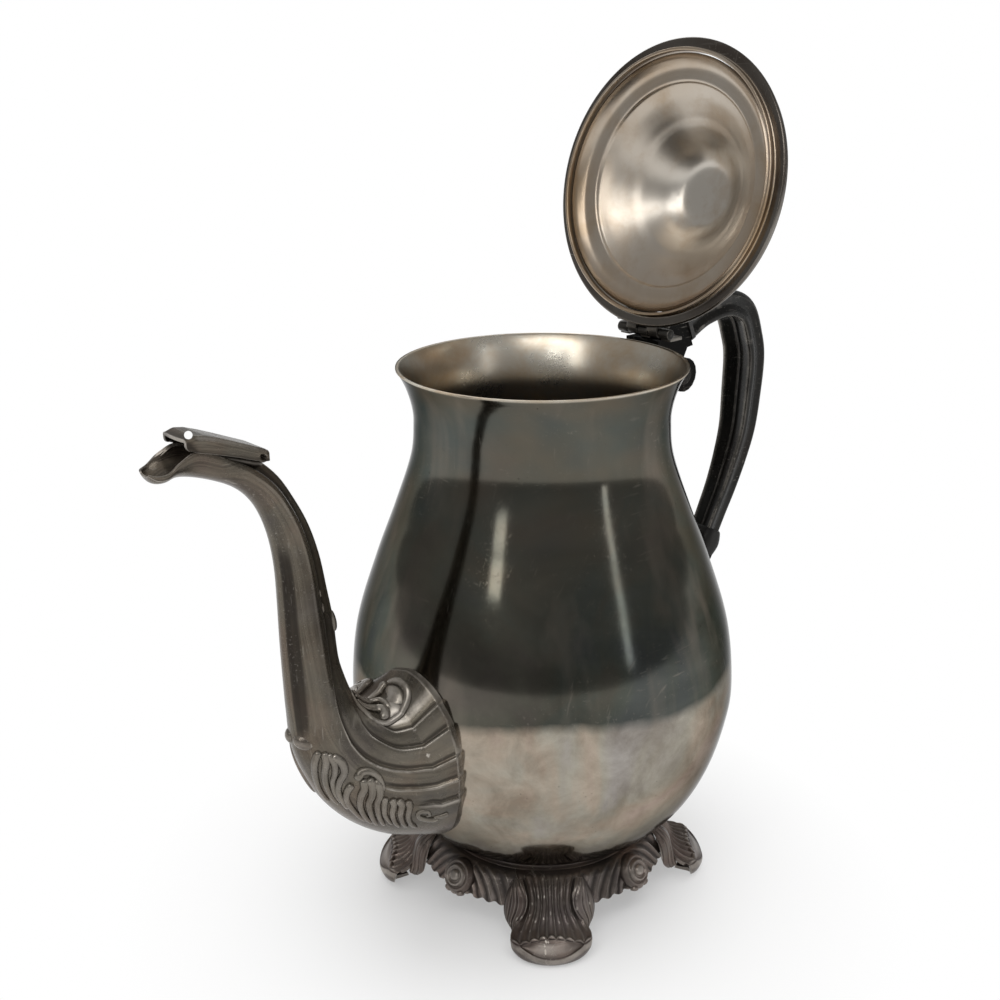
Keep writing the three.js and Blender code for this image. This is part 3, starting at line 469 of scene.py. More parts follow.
def relief_group():
    """Rubbed ridges and dark hollows, from the piece's own relief and the bend of its surface; the relief
    also carries painted highlights on ridges and painted shade in hollows.
    """
    group, given, out = new_group(
        "Cast Relief",
        [(label, "NodeSocketFloat", 0.5) for label in ("Rub", "Dirt", "Break")],
        (("Ridges", "NodeSocketFloat"), ("Hollows", "NodeSocketFloat")))
    w = Wiring(group)
    relief = w.stored("relief")
    bend = w.node("ShaderNodeNewGeometry").outputs["Pointiness"]
    ridge = w.maths("MAXIMUM", w.rise(relief, 0.62, 0.95), w.rise(bend, 0.52, 0.6))
    hollow = w.maths("MAXIMUM", w.ramp(relief, (0.08, 1.0), (0.38, 0.0)),
                     w.ramp(bend, (0.4, 1.0), (0.485, 0.0)))
    broken = w.ramp(given.outputs["Break"], (0.32, 0.15), (0.6, 1.0))
    w.fill(out, {
        "Ridges": w.maths("MULTIPLY", w.times(ridge, broken), given.outputs["Rub"], clamp=True),
        "Hollows": w.maths("MULTIPLY", hollow, given.outputs["Dirt"], clamp=True),
    })
    return group


GROUPS = {}
MATERIALS = {}


def start_material(name):
    """Makes a material and keeps it under its name; returns its wiring and its shader."""
    material = MATERIALS[name] = bpy.data.materials.new(name)
    material.use_nodes = True
    return Wiring(material.node_tree), material.node_tree.nodes["Principled BSDF"]


def placed(w):
    """Object coordinates moved so that the pot's axis is their middle."""
    coords = w.node("ShaderNodeTexCoord").outputs["Object"]
    links = (("Vector", coords), ("Location", (-AXIS_X, 0.0, 0.0)))
    return w.node("ShaderNodeMapping", links).outputs["Vector"]


def use_group(w, make, **values):
    """The outputs of a shared node group, which is made when it is first asked for."""
    if make not in GROUPS:
        GROUPS[make] = make()
    return w.node("ShaderNodeGroup", values.items(), node_tree=GROUPS[make]).outputs


def start_plate(name, cloud_scale, mark_scale, mark_amount):
    """Makes a plate's material; returns its wiring, shader, place on the pot, tarnish and marks."""
    w, shader = start_material(name)
    where = placed(w)
    tarnish = use_group(w, tarnish_group, Vector=where, Scale=cloud_scale)
    marks = use_group(w, scratches_group, Vector=where, Scale=mark_scale, Amount=mark_amount)
    return w, shader, where, tarnish, marks


def body_plate(tones):
    """Mirror plate on the vessel: darker above and paler below, a painted reflection of a dark room over a
    pale table, mottled with tarnish; satin inside, painted darker further down as shade.
    """
    w, shader, where, tarnish, marks = start_plate("body_plate", 1.0, 1.0, 0.6)
    parts = w.node("ShaderNodeSeparateXYZ", ((0, where),)).outputs

    # The dark upper body and the pale lower body, split at a wavy line near 100 mm, are a painted reflection
    # of a dark room above a pale table; their mottling is tarnish
    wave = w.times(w.plus(tarnish["Cloud"], -0.5), 0.018)
    level = w.plus(w.plus(parts["Z"], wave), w.times(parts["Y"], -0.02))
    upper = w.rise(w.times(level, 5.0), 0.478, 0.5)
    dark = w.mixed(w.rise(tarnish["Cloud"], 0.3, 0.7), tones.upper_dark, tones.upper_light)
    dark = w.mixed(0.55, dark, tarnish["Tint"], "MULTIPLY")
    pale = w.mixed(w.rise(tarnish["Blotches"], 0.35, 0.65), tones.lower_dark, tones.lower_light)
    pale = w.mixed(0.5, pale, tarnish["Tint"], "MULTIPLY")
    outside = w.mixed(upper, pale, dark)

    film = w.noise(w.stretched(where, (14.0, 14.0, 22.0)), 1.0, 3.0, 0.6)
    film = w.ramp(film, (0.38, 0.0), (0.5, 0.5), (0.64, 1.0))
    near_rim = w.rise(w.times(w.plus(parts["Z"], -0.12), 11.0), 0.0, 0.8)
    outside = w.mixed(w.times(near_rim, 0.55), outside, w.mixed(film, tones.film_cool, tones.film_warm))
    streaks = w.rise(w.noise(w.stretched(where, (60.0, 60.0, 5.0)), 1.0, 3.0, 0.6), 0.52, 0.75)
    outside = w.mixed(w.times(streaks, 0.35), outside, tones.lower_dark)
    outside = w.mixed(w.times(marks["Pits"], 0.8), outside, tones.pit)
    outside = w.mixed(w.times(marks["Scratches"], 0.3), outside, tones.lower_light)

    inner = w.stored("inner")
    # Inside, the plate is painted darker further below the mouth, as painted shade
    near_mouth = w.rise(w.times(w.plus(parts["Z"], -0.15), 18.0), 0.3, 0.95)
    inside = w.mixed(near_mouth, tones.inside_deep, tones.inside)
    inside = w.mixed(w.ramp(tarnish["Blotches"], (0.4, 0.0), (0.7, 0.6)), inside, tones.inside_warm)
    haze = w.plus(w.times(tarnish["Blotches"], 0.16), 0.05)
    haze = w.plus(haze, w.times(marks["Scratches"], 0.15))
    spun_lines = w.noise(w.stretched(where, (3.0, 3.0, 2600.0)), 1.0, 2.0)
    height = w.plus(marks["Height"], w.times(tarnish["Grain"], 0.05))
    height = w.plus(height, w.times(w.times(spun_lines, inner), 0.35))
    dents = w.bumped(w.noise(where, 20.0, 1.0), 0.12, 0.0016, w.bumped(height, 0.35, 0.00012))
    w.fill(shader, {
        "Base Color": w.mixed(inner, outside, inside),
        "Metallic": 1.0,
        "Specular Tint": (0.4, 0.4, 0.4, 1.0),
        "Roughness": w.maths("ADD", haze, w.times(inner, 0.16), clamp=True),
        "Normal": dents,
    })


def lid_plate(tones):
    """Spun silver inside the lid, warm towards its edge, and dark tarnish on its outside."""
    w, shader, _, tarnish, marks = start_plate("lid_plate", 1.0, 1.2, 0.7)
    ring, inner = w.stored("ring"), w.stored("inner")
    warm = w.ramp(ring, (0.25, 0.0), (0.62, 0.35), (1.0, 1.0))
    warm = w.times(warm, w.ramp(tarnish["Cloud"], (0.3, 0.35), (0.62, 1.0)))
    inside = w.mixed(warm, tones.lid_inside, tones.lid_warm)
    inside = w.mixed(w.ramp(tarnish["Blotches"], (0.5, 0.0), (0.75, 0.5)), inside, tones.lid_warm)
    outside = w.mixed(w.rise(tarnish["Cloud"], 0.3, 0.7), tones.lid_dark, tones.lid_light)
    outside = w.mixed(w.times(marks["Scratches"], 0.6), outside, tones.lid_scratch)
    rough = w.plus(w.times(tarnish["Blotches"], 0.16), w.plus(0.14, w.times(inner, 0.1)))
    spot = w.node("ShaderNodeCombineXYZ", ((0, w.times(ring, 420.0)),)).outputs[0]
    height = w.plus(w.times(w.noise(spot, 1.0, 2.0), 0.4), marks["Height"])
    w.fill(shader, {
        "Base Color": w.mixed(inner, outside, inside),
        "Metallic": 1.0,
        "Roughness": w.plus(rough, w.times(marks["Scratches"], 0.12)),
        "Normal": w.bumped(height, 0.3, 0.0001),
    })


def cast_metal(name, dark, middle, rubbed, rub, dirt, streak=None, roughness=0.3, bare=0.7, gloss=0.5):
    """Cast plate with dark hollows, rubbed ridges and a brown or grey tarnish between them; the hollows also
    hold painted shade and the ridges painted highlights.
    """
    w, shader, _, tarnish, marks = start_plate(name, 1.6, 1.5, 0.8)
    relief = use_group(w, relief_group, Rub=rub, Dirt=dirt, Break=tarnish["Blotches"])
    colour = w.mixed(w.rise(tarnish["Cloud"], 0.32, 0.66), dark, middle)
    if streak is not None:
        around, along = w.times(w.stored("around"), 13.0), w.times(w.stored("along"), 3.0)
        spot = w.node("ShaderNodeCombineXYZ", ((0, around), (1, along))).outputs[0]
        bands = w.rise(w.noise(spot, 1.0, 4.0, 0.62, 0.9), 0.4, 0.66)
        colour = w.mixed(w.times(bands, 0.38), colour, streak)
    colour = w.mixed(0.35, colour, tarnish["Tint"], "MULTIPLY")
    # Hollows darken to the dark colour and ridges lighten to the rubbed colour: tarnish and wear, and also
    # painted shade and painted highlights where a piece's relief holds them
    colour = w.mixed(relief["Hollows"], colour, tuple(0.35 * c for c in dark))
    colour = w.mixed(relief["Ridges"], colour, rubbed)
    colour = w.mixed(w.times(marks["Scratches"], 0.4), colour, rubbed)
    rough = w.plus(w.times(tarnish["Blotches"], 0.25), roughness - 0.1)
    rough = w.maths("SUBTRACT", rough, w.times(relief["Ridges"], 0.08))
    height = w.plus(w.times(tarnish["Blotches"], 0.8), marks["Height"])
    height = w.plus(height, w.times(tarnish["Grain"], 0.4))
    w.fill(shader, {
        "Base Color": colour,
        "Metallic": bare,
        "Specular IOR Level": gloss,
        "Roughness": w.maths("ADD", rough, w.times(relief["Hollows"], 0.2), clamp=True),
        "Normal": w.bumped(height, 0.45, 0.00022),
    })


def washer_material(tones):
    """Dark fibre washer with a fine speckle."""
    w, shader = start_material("insulator")
    speck = w.noise(placed(w), 900.0, 3.0)
    w.fill(shader, {
        "Base Color": w.mixed(w.rise(speck, 0.4, 0.65), tones.washer_dark, tones.washer_light),
        "Roughness": w.plus(w.times(speck, 0.3), 0.35),
        "Normal": w.bumped(speck, 0.4, 0.00015),
    })


# Colours that follow from the plate, its wear and the painted shade deep inside the vessel, and so have no
# setting of their own
SET_TONES = {
    "film_cool": (0.075, 0.1, 0.1),
    "film_warm": (0.17, 0.13, 0.09),
    "pit": (0.03, 0.026, 0.022),
    "inside_deep": (0.2, 0.19, 0.17),
    "lid_dark": (0.07, 0.055, 0.045),
    "lid_light": (0.2, 0.185, 0.165),
    "lid_scratch": (0.5, 0.47, 0.42),
    "washer_dark": (0.012, 0.011, 0.01),
    "washer_light": (0.045, 0.04, 0.034),
}


def make_materials():
    group = bpy.context.scene.pot_colours
    settings = {key: tuple(getattr(group, key)) for key in PotColours.__annotations__}
    tones = SimpleNamespace(**SET_TONES, **settings)
    spout = (tones.spout_dark, tones.spout_middle, tones.rubbed)
    foot = (tones.foot_dark, tones.foot_middle, tones.rubbed)
    handle = (tones.handle_dark, tones.handle_middle, tones.rubbed)
    body_plate(tones)
    lid_plate(tones)
    cast_metal("spout_casting", *spout, 0.8, 0.75, tones.spout_streak, 0.24)
    cast_metal("foot_casting", *foot, 0.55, 0.9, roughness=0.32)
    cast_metal("handle_casting", *handle, 0.6, 0.7, roughness=0.26, gloss=0.3)
    cast_metal("hinge_metal", *handle, 0.5, 0.8, roughness=0.34, gloss=0.15)
    cast_metal("socket_casting", *handle, 0.0, 0.8, roughness=0.42, bare=0.8, gloss=0.1)
    washer_material(tones)


# Turned pieces

# The vessel's outer line as radius and height, from its lower edge to its mouth
BODY_LINE = [
    (34.4, 25.7), (46.5, 31.5), (57.3, 42.9), (64.8, 57.2), (69.6, 74.4), (70.8, 88.0), (68.2, 109.7),
    (60.6, 133.5), (53.3, 152.6), (46.8, 171.6), (45.4, 184.0), (45.9, 190.9), (48.0, 198.1), (51.1, 204.4),
]
BODY_OUTSIDE = even_line(BODY_LINE, 150)


def body_radius(height):
    """The vessel's outer radius at a height."""
    for (r0, z0), (r1, z1) in zip(BODY_OUTSIDE, BODY_OUTSIDE[1:]):
        if height <= z1:
            return mix(r0, r1, (height - z0) / (z1 - z0))
    return BODY_OUTSIDE[-1][0]


def painted(bm, layer, value):
    """Stores a value at each vertex, from its place in millimetres about the pot's axis."""
    store = bm.verts.layers.float.get(layer) or bm.verts.layers.float.new(layer)
    for vert in bm.verts:
        p = vert.co / MM
        vert[store] = value(p.x - AXIS_X / MM, p.y, p.z)


def inset_line(line, width):
    """A line moved sideways, to its left."""
    moved = []
    for i, (r, z) in enumerate(line):
        (r0, z0), (r1, z1) = line[max(i - 1, 0)], line[min(i + 1, len(line) - 1)]
        length = math.dist((r0, z0), (r1, z1))
        moved.append((r - (z1 - z0) / length * width, z + (r1 - r0) / length * width))
    return moved


# The strainer's holes behind the spout: one in the middle and three rings of six
STRAINER_AT = (-64.0, 77.0)
STRAINER_HOLE, STRAINER_PITCH, STRAINER_REACH = 2.6, 8.0, 24.0
STRAINER_RINGS = ((1.0, 0.0), (math.sqrt(3), 30.0), (2.0, 0.0))


def strainer_places():
    """The sideways and upward places of the holes about the middle one."""
    places = [(0.0, 0.0)]
    for share, start in STRAINER_RINGS:
        turns = [math.radians(start + 60 * k) for k in range(6)]
        reach = STRAINER_PITCH * share
        places += [(reach * math.cos(t), reach * math.sin(t)) for t in turns]
    return places


def build_vessel(sizes):
    """The shell with its rolled rim, and the strainer's holes through it."""
    wall = sizes.wall / MM
    inside = inset_line(BODY_OUTSIDE, wall)
    inside = [(r, min(z, RIM_TOP - 0.5)) for r, z in inside]
    outside = BODY_OUTSIDE[:-3]
    edge_r, edge_z = BODY_OUTSIDE[-3]
    rim = [(edge_r + 0.75, edge_z + 1.2), (edge_r + 1.25, edge_z + 2.3), (edge_r + 1.3, RIM_TOP - 0.55),
           (edge_r + 1.05, RIM_TOP - 0.12), (edge_r + 0.6, RIM_TOP), (edge_r + 0.1, RIM_TOP - 0.1),
           (edge_r - 0.25, RIM_TOP - 0.45)]
    bm = spun(outside + [(edge_r, edge_z)] + rim + inside[-4::-1], 160)
    painted(bm, "inner", lambda x, y, z: float(
        math.hypot(x, y) < body_radius(z) - 0.6 * wall or z > RIM_TOP - 0.6))
    vessel = finish_piece("vessel_shell", bm, "pot", "body_plate", ["vessel"])
    holes = bmesh.new()
    for across, up in strainer_places():
        place = Matrix.Translation(at(STRAINER_AT[0], across, STRAINER_AT[1] + up))
        add_rod(holes, STRAINER_HOLE, STRAINER_REACH, place @ Matrix.Rotation(math.pi / 2, 4, "Y"), 20)
    cut_with(vessel, holes, "strainer")


# The bottom plate's dome, as the height of its middle, its radius, and the angle of its edge
PLATE_DOME = (-160.0, 189.9, 79.9)
PLATE_WALL = 1.2
COLLAR_LINE = [
    (31.2, 26.4), (31.0, 23.0), (31.6, 22.6), (38.0, 22.5), (39.0, 22.8), (39.2, 23.4), (38.9, 24.1),
    (38.1, 24.5), (37.7, 25.0), (38.4, 25.5), (38.8, 26.1), (38.6, 26.8), (38.0, 27.3), (33.2, 27.2),
]


def build_base():
    """The disc that closes the vessel, and the moulded collar under it."""
    middle, radius, edge = PLATE_DOME
    top = arc(0, middle, radius, 90, edge, 16)
    low = [(r, z - PLATE_WALL) for r, z in reversed(top)]
    finish_piece("bottom_plate", spun(top + low, 96), "pot", "body_plate", ["bottom_disc"])
    fine = smoothed(COLLAR_LINE + COLLAR_LINE[:1], 84)[:-1]
    finish_piece("foot_ring", spun(fine, 128), "pot", "foot_casting", ["foot_collar"])


# The dome's inner line as radius and height, from its edge to its middle, with the lid closed
LID_INSIDE = [
    (45.2, 203.73), (44.5, 205.4), (42.3, 207.4), (39.2, 207.95), (38.0, 208.0), (37.1, 208.3), (36.6, 209.2),
    (35.6, 209.8), (32.5, 211.6), (28.6, 214.6), (26.0, 216.8), (24.4, 218.0), (22.6, 219.5), (19.0, 223.2),
    (16.3, 226.2), (14.4, 227.9), (12.6, 229.2), (11.0, 229.95), (9.0, 230.35), (5.0, 230.6), (0.0, 230.7),
]


# The dome's wall, the reach of its rings, and the height where its rim rests
LID_WALL, LID_REACH, LID_SEAT = 1.2, 52.0, 204.75
LID_RIM = [
    (46.7, 202.75), (46.9, 202.4), (47.4, 202.3), (47.9, 202.5), (48.0, 203.0), (48.0, LID_SEAT),
    (50.9, 204.8), (51.6, 205.0), (51.9, 205.6), (51.7, 206.3), (50.9, 206.7), (50.6, 207.2),
    (50.9, 207.8), (50.5, 208.5), (49.3, 208.9), (48.2, 208.9), (46.9, 208.6),
]
FINIAL_FOOT = [
    (0.0, 232.4), (9.3, 232.4), (9.5, 232.8), (9.3, 233.3), (8.3, 233.6), (7.4, 234.1), (6.6, 235.0),
    (6.2, 235.8), (0.0, 235.8),
]
FINIAL_GRIP = [
    (0.0, 236.1), (5.4, 236.1), (5.7, 236.6), (5.0, 237.3), (3.4, 238.4), (2.7, 239.9), (2.8, 241.0),
    (4.2, 242.0), (6.4, 243.6), (7.2, 245.8), (6.9, 247.9), (5.2, 249.9), (3.4, 251.2), (2.6, 252.2),
    (2.2, 253.2), (1.3, 253.9), (0.0, 254.1),
]
# The gap that the hinge's knuckles turn in, as its radius and its width
HINGE_ROOM = (2.6, 25.6)


def lid_piece(name, bm, node):
    """A piece of lid plate that is drawn closed and swung open."""
    finish_piece(name, carried(bm, swung()), "lid", "lid_plate", [node])


def build_lid():
    """The spun dome, its moulded rim with the lip, and the turned finial."""
    inside = even_line(LID_INSIDE, 120)
    outside = inset_line(inside, -LID_WALL)
    outside[-1] = (0.0, 232.1)
    outside[0] = (46.3, 204.4)
    bm = spun(list(reversed(inside)) + outside, 160)
    painted(bm, "ring", lambda x, y, z: math.hypot(x, y) / LID_REACH)
    painted(bm, "inner", lambda x, y, z: lid_inner(math.hypot(x, y), z, inside))
    lid_piece("lid_dome", bm, "lid_shell")
    bm = spun(smoothed(LID_RIM, 90), 160)
    painted(bm, "ring", lambda x, y, z: math.hypot(x, y) / LID_REACH)
    painted(bm, "inner", lambda x, y, z: float(z < LID_SEAT))
    rim_piece = finish_piece("lid_edge", bm, "lid", "lid_plate", ["lid_rim"])
    cut_with(rim_piece, cross_rod(*HINGE_ROOM, HINGE_AT[0], 0, HINGE_AT[1]), "hinge_room")
    rim_piece.data.transform(swung())
    lid_piece("finial_foot", softened(spun(FINIAL_FOOT, 96), 0.15), "finial_base")
    lid_piece("finial_grip", spun(FINIAL_GRIP[:1] + smoothed(FINIAL_GRIP[1:], 70), 96), "finial_knob")


def lid_inner(radius, height, inside):
    """1 on the lid's inner wall, 0 on its outer wall."""
    nearest = min(math.dist((radius, height), point) for point in inside)
    return float(nearest < 0.6)


KNUCKLES, HINGE_LENGTH, KNUCKLE_RADIUS, KNUCKLE_GAP = 5, 25.0, 2.0, 0.3
LEAF_THICKNESS, PIN_RADIUS = 1.4, 0.9

# The flat outlines of the hinge's leaves, as places beside the pin and along it
POT_LEAF = [(2.3, -12.5), (2.3, 12.5), (6.5, 12.5), (6.5, -12.5)]
LID_LEAF = [(-2.3, -12.5), (-7.2, -14.5), (-7.6, 14.5), (-2.3, 12.5)]


def leaf_form(first, outline, tab_reach):
    """A hinge leaf with every second knuckle from the first, and a tab from each knuckle to the leaf."""
    pin_x, pin_z = HINGE_AT
    knuckle = (HINGE_LENGTH - (KNUCKLES - 1) * KNUCKLE_GAP) / KNUCKLES
    bottom = pin_z - KNUCKLE_RADIUS - 0.7
    bm = softened(slab([(pin_x + x, y, bottom) for x, y in outline], (0, 0, LEAF_THICKNESS)), 0.3)
    for i in range(first, KNUCKLES, 2):
        middle = -HINGE_LENGTH / 2 + knuckle / 2 + i * (knuckle + KNUCKLE_GAP)
        joined(bm, softened(cross_rod(KNUCKLE_RADIUS, knuckle, pin_x, middle, pin_z, 40), 0.45, 3, 60))
        low, high = pin_z - KNUCKLE_RADIUS - 0.68, pin_z - 0.6
        profile = [(pin_x, low), (pin_x + tab_reach, low), (pin_x + tab_reach, low + 1.3), (pin_x, high)]
        width = knuckle - 0.1
        tab = slab([(x, middle - width / 2, z) for x, z in profile], (0, width, 0))
        joined(bm, softened(tab, 0.15, 2, 60))
    return bm


def build_hinge():
    finish_piece("hinge_pot_leaf", leaf_form(0, POT_LEAF, 3.2), "pot", "hinge_metal", ["hinge_body_leaf"])
    cover = carried(leaf_form(1, LID_LEAF, -3.2), swung())
    finish_piece("hinge_cover_leaf", cover, "lid", "hinge_metal", ["hinge_lid_leaf"])
    pin = cross_rod(PIN_RADIUS, HINGE_LENGTH, HINGE_AT[0], 0, HINGE_AT[1])
    finish_piece("hinge_rod", softened(pin, 0.2, 2, 60), "pot", "hinge_metal", ["hinge_pin"])


# Spout: h runs from 0 along the back to 1 along the underside, s from -1 at the pad's rim to 20 at the tip

# At each whole s from 0: the underside's distance from the axis and height, the back's, and the half width
SPOUT_STATIONS = [
    (66.5, 46.2, 76.5, 104.0, 26.0), (79.0, 51.2, 81.5, 102.5, 21.0), (90.0, 59.3, 85.0, 104.5, 16.5),
    (99.5, 70.2, 87.5, 107.5, 13.0), (106.0, 82.0, 89.3, 111.5, 11.0), (110.2, 94.0, 91.0, 117.0, 9.7),
    (111.4, 107.0, 92.3, 122.5, 8.8), (112.0, 119.0, 92.8, 129.0, 8.1), (112.4, 132.0, 93.2, 136.5, 7.4),
    (112.4, 146.0, 95.0, 147.5, 6.8), (112.6, 158.0, 97.1, 159.5, 6.5), (113.9, 168.0, 100.4, 170.3, 6.3),
    (116.5, 176.6, 105.0, 179.8, 6.2), (120.2, 183.0, 110.7, 188.8, 6.2), (125.4, 187.9, 118.9, 196.4, 6.2),
    (132.3, 191.6, 128.8, 202.4, 6.6), (139.2, 194.2, 138.3, 208.6, 6.9), (144.6, 195.3, 144.7, 206.2, 7.0),
    (148.6, 194.6, 148.7, 202.4, 6.7), (151.3, 195.1, 151.4, 200.9, 5.3), (152.7, 197.2, 152.8, 198.9, 2.4),
]

SPOUT_END = len(SPOUT_STATIONS) - 1

# Across the neck: share of the depth towards the back, and share of the half width
NECK_SECTION = [
    (1.0, 0.0), (0.985, 0.12), (0.95, 0.22), (0.82, 0.33), (0.66, 0.42), (0.49, 0.54), (0.33, 0.7),
    (0.18, 0.88), (0.0, 1.0), (-0.12, 0.96), (-0.28, 0.885), (-0.42, 0.81), (-0.57, 0.71), (-0.73, 0.59),
    (-0.87, 0.43), (-0.97, 0.2), (-1.0, 0.0),
]

# The terraces' edges as pairs of s and h, with the s where each one fades
TERRACES = [
    ([(-1, 0.23), (0.85, 0.23), (1.5, 0.215), (2.4, 0.205), (3.1, 0.18), (3.9, 0.16), (19, 0.16)], 3.9),
    ([(-1, 0.31), (2.6, 0.315), (3.3, 0.3), (4.2, 0.235), (6, 0.25), (19, 0.26)], 4.2),
    ([(-1, 0.4), (0.4, 0.4), (1.15, 0.41), (2.1, 0.44), (2.9, 0.458), (3.8, 0.465), (4.6, 0.45), (5.6, 0.43),
      (6.6, 0.385), (7.7, 0.36), (12, 0.37), (19, 0.4)], 16.0),
    ([(-1, 0.48), (0, 0.475), (0.95, 0.49), (1.95, 0.53), (4, 0.57), (5.45, 0.6), (7, 0.63), (8.35, 0.68),
      (12, 0.72), (19, 0.72)], 10.5),
    ([(-1, 0.56), (0.3, 0.555), (0.85, 0.575), (1.8, 0.63), (4, 0.7), (8, 0.78), (19, 0.82)], 1.1),
]
# The share of the grid's columns that lies at each terrace's edge
COLUMN_SHARES = (0.15, 0.3, 0.46, 0.63, 0.78)

# Leaf ribs on the lower flank, each as its size and its line of s and h
LEAF_RIBS = [
    (1.25, [(4.75, 0.73), (4.55, 0.8), (4.15, 0.86), (3.65, 0.9), (3.2, 0.9)]),
    (1.35, [(4.6, 0.69), (4.3, 0.71), (4.05, 0.77), (3.75, 0.81), (3.4, 0.83), (3.0, 0.84)]),
    (1.45, [(4.3, 0.64), (3.85, 0.605), (3.55, 0.625), (3.5, 0.69), (3.35, 0.75), (3.0, 0.785), (2.7, 0.81)]),
    (1.2, [(4.45, 0.665), (4.05, 0.655), (3.82, 0.69), (3.68, 0.745), (3.4, 0.785), (3.0, 0.81)]),
    (1.5, [(3.0, 0.6), (2.9, 0.545), (2.6, 0.505), (2.25, 0.5), (2.02, 0.53), (1.98, 0.56)]),
    (1.3, [(3.05, 0.64), (3.1, 0.69), (2.95, 0.75), (2.5, 0.79), (2.05, 0.81)]),
    (1.45, [(2.78, 0.565), (2.62, 0.6), (2.62, 0.66), (2.5, 0.72), (2.2, 0.77), (1.85, 0.8)]),
    (1.55, [(2.6, 0.545), (2.4, 0.56), (2.3, 0.61), (2.3, 0.67), (2.05, 0.735), (1.7, 0.795)]),
    (1.5, [(2.35, 0.53), (2.12, 0.55), (2.05, 0.59), (2.05, 0.645), (1.85, 0.71), (1.52, 0.77)]),
    (1.2, [(1.85, 0.585), (1.8, 0.64), (1.68, 0.69), (1.35, 0.735)]),
    (1.3, [(1.62, 0.575), (1.52, 0.6), (1.5, 0.65), (1.35, 0.7), (1.1, 0.74)]),
    (1.35, [(1.42, 0.565), (1.26, 0.585), (1.25, 0.64), (1.1, 0.69), (0.9, 0.725)]),
    (1.25, [(1.08, 0.555), (1.0, 0.585), (1.0, 0.64), (0.85, 0.69), (0.65, 0.72)]),
    (1.0, [(0.1, 0.655), (0.4, 0.655), (0.68, 0.64), (0.72, 0.61), (0.52, 0.6), (0.42, 0.62), (0.52, 0.635)]),
    (0.9, [(-0.3, 0.625), (0.0, 0.63), (0.3, 0.64)]),
]
# The scroll behind the neck, each rod as its end radii, its lift, its flatness and its line of s and h
SCROLL_RODS = [
    (0.8, 1.7, 0.2, 0.8, [(4.11, 0.15), (3.58, 0.2), (2.95, 0.205), (2.32, 0.205), (1.7, 0.2), (1.1, 0.19),
                          (0.6, 0.175), (0.2, 0.165), (-0.12, 0.155), (-0.32, 0.14), (-0.42, 0.12),
                          (-0.45, 0.09), (-0.42, 0.06), (-0.3, 0.03)]),
    (3.4, 5.0, -0.6, 0.42, [(-0.15, 0.03), (-0.17, 0.06), (-0.1, 0.09), (0.1, 0.115), (0.45, 0.13),
                            (0.9, 0.14)]),
    (0.7, 1.5, 0.6, 0.9, [(3.79, 0.1), (3.05, 0.075), (1.89, 0.045), (0.79, 0.022), (0.26, 0.018),
                          (-0.15, 0.02), (-0.3, 0.03)]),
    (0.7, 1.2, 0.6, 0.9, [(3.6, 0.13), (2.7, 0.085), (1.5, 0.06), (0.9, 0.045), (0.55, 0.055), (0.42, 0.08),
                          (0.42, 0.12)]),
    (0.6, 2.3, 0.7, 0.75, [(3.5, 0.16), (2.95, 0.15), (2.2, 0.13), (1.63, 0.11), (1.0, 0.1), (0.75, 0.115),
                           (0.85, 0.14), (1.3, 0.15)]),
]
# How much further round, in h, the scroll's rods lie on the far side
FAR_SHIFT = 0.06

# The studs up the neck's back: their two ends in s, their h and their radius
NECK_STUDS = ((7.45, 8.3, 0.1, 1.5), (8.45, 8.75, 0.3, 0.8), (8.9, 9.15, 0.3, 0.7))
# The collar that ends the leaves under the neck
COLLAR_ROD = [(4.9, 0.76), (5.1, 0.82), (5.3, 0.9), (5.35, 0.98)]
SPOUT_WALL = 1.3


def line_at(table, value):
    """Reads a table of rising keys with straight joins."""
    if value <= table[0][0]:
        return table[0][1]
    for (k0, v0), (k1, v1) in zip(table, table[1:]):
        if value <= k1:
            return mix(v0, v1, (value - k0) / (k1 - k0))
    return table[-1][1]


def spout_station(s):
    """The underside's and the back's distance and height, and the half width, at a station."""
    return spline(SPOUT_STATIONS, s / SPOUT_END)


# The pad's rim as sideways place and height, in even steps of h: the side near the camera, then the far side
PAD_NEAR = [
    (0, 110.0), (-8.5, 111.8), (-18, 108.2), (-25, 101), (-29.6, 91.8), (-30.8, 82.2), (-29.6, 72.8),
    (-26.8, 63.8), (-22.2, 55.4), (-15.5, 49), (-8, 45.4), (0, 44.5),
]
PAD_FAR = [
    (0, 110.0), (6.5, 105.0), (14, 100.0), (20.5, 94.0), (25, 87.2), (27.5, 80.0), (28.0, 72.0),
    (26.0, 63.6), (22, 55.4), (15.5, 49), (8, 45.4), (0, 44.5),
]


def on_pad(height, across, lift):
    """A place over the vessel's wall on the spout's side, in millimetres."""
    radius = body_radius(height) + lift
    turn = across / radius
    return Vector((-radius * math.cos(turn), radius * math.sin(turn), height))


def spout_at(h, side, s):
    """The spout's smooth surface, without its relief."""
    turn = h * math.pi
    under_r, under_z, back_r, back_z, half = spout_station(max(s, 0.0))
    neck = smooth(3.0, 8.0, s) * (1 - 0.85 * smooth(13.0, 15.5, s))
    out, across = math.cos(turn), math.sin(turn)
    if neck:
        section = spline(NECK_SECTION, h)
        out, across = mix(out, section[0], neck), mix(across, section[1], neck)
    middle_r, middle_z = (under_r + back_r) / 2, (under_z + back_z) / 2
    point = Vector((-middle_r - out * (back_r - under_r) / 2, side * half * across,
                    middle_z + out * (back_z - under_z) / 2))
    if s < 0:
        sideways, height = spline(PAD_NEAR if side < 0 else PAD_FAR, h)
        rim = on_pad(height, sideways, 2.2)
        share = 1 + s
        bent = share * share * (1.6 - 0.6 * share)
        point = rim.lerp(point, bent)
        lowest = body_radius(point.z) + 2.0
        reach = math.hypot(point.x, point.y)
        if reach < lowest:
            point.x, point.y = point.x * lowest / reach, point.y * lowest / reach
    return point


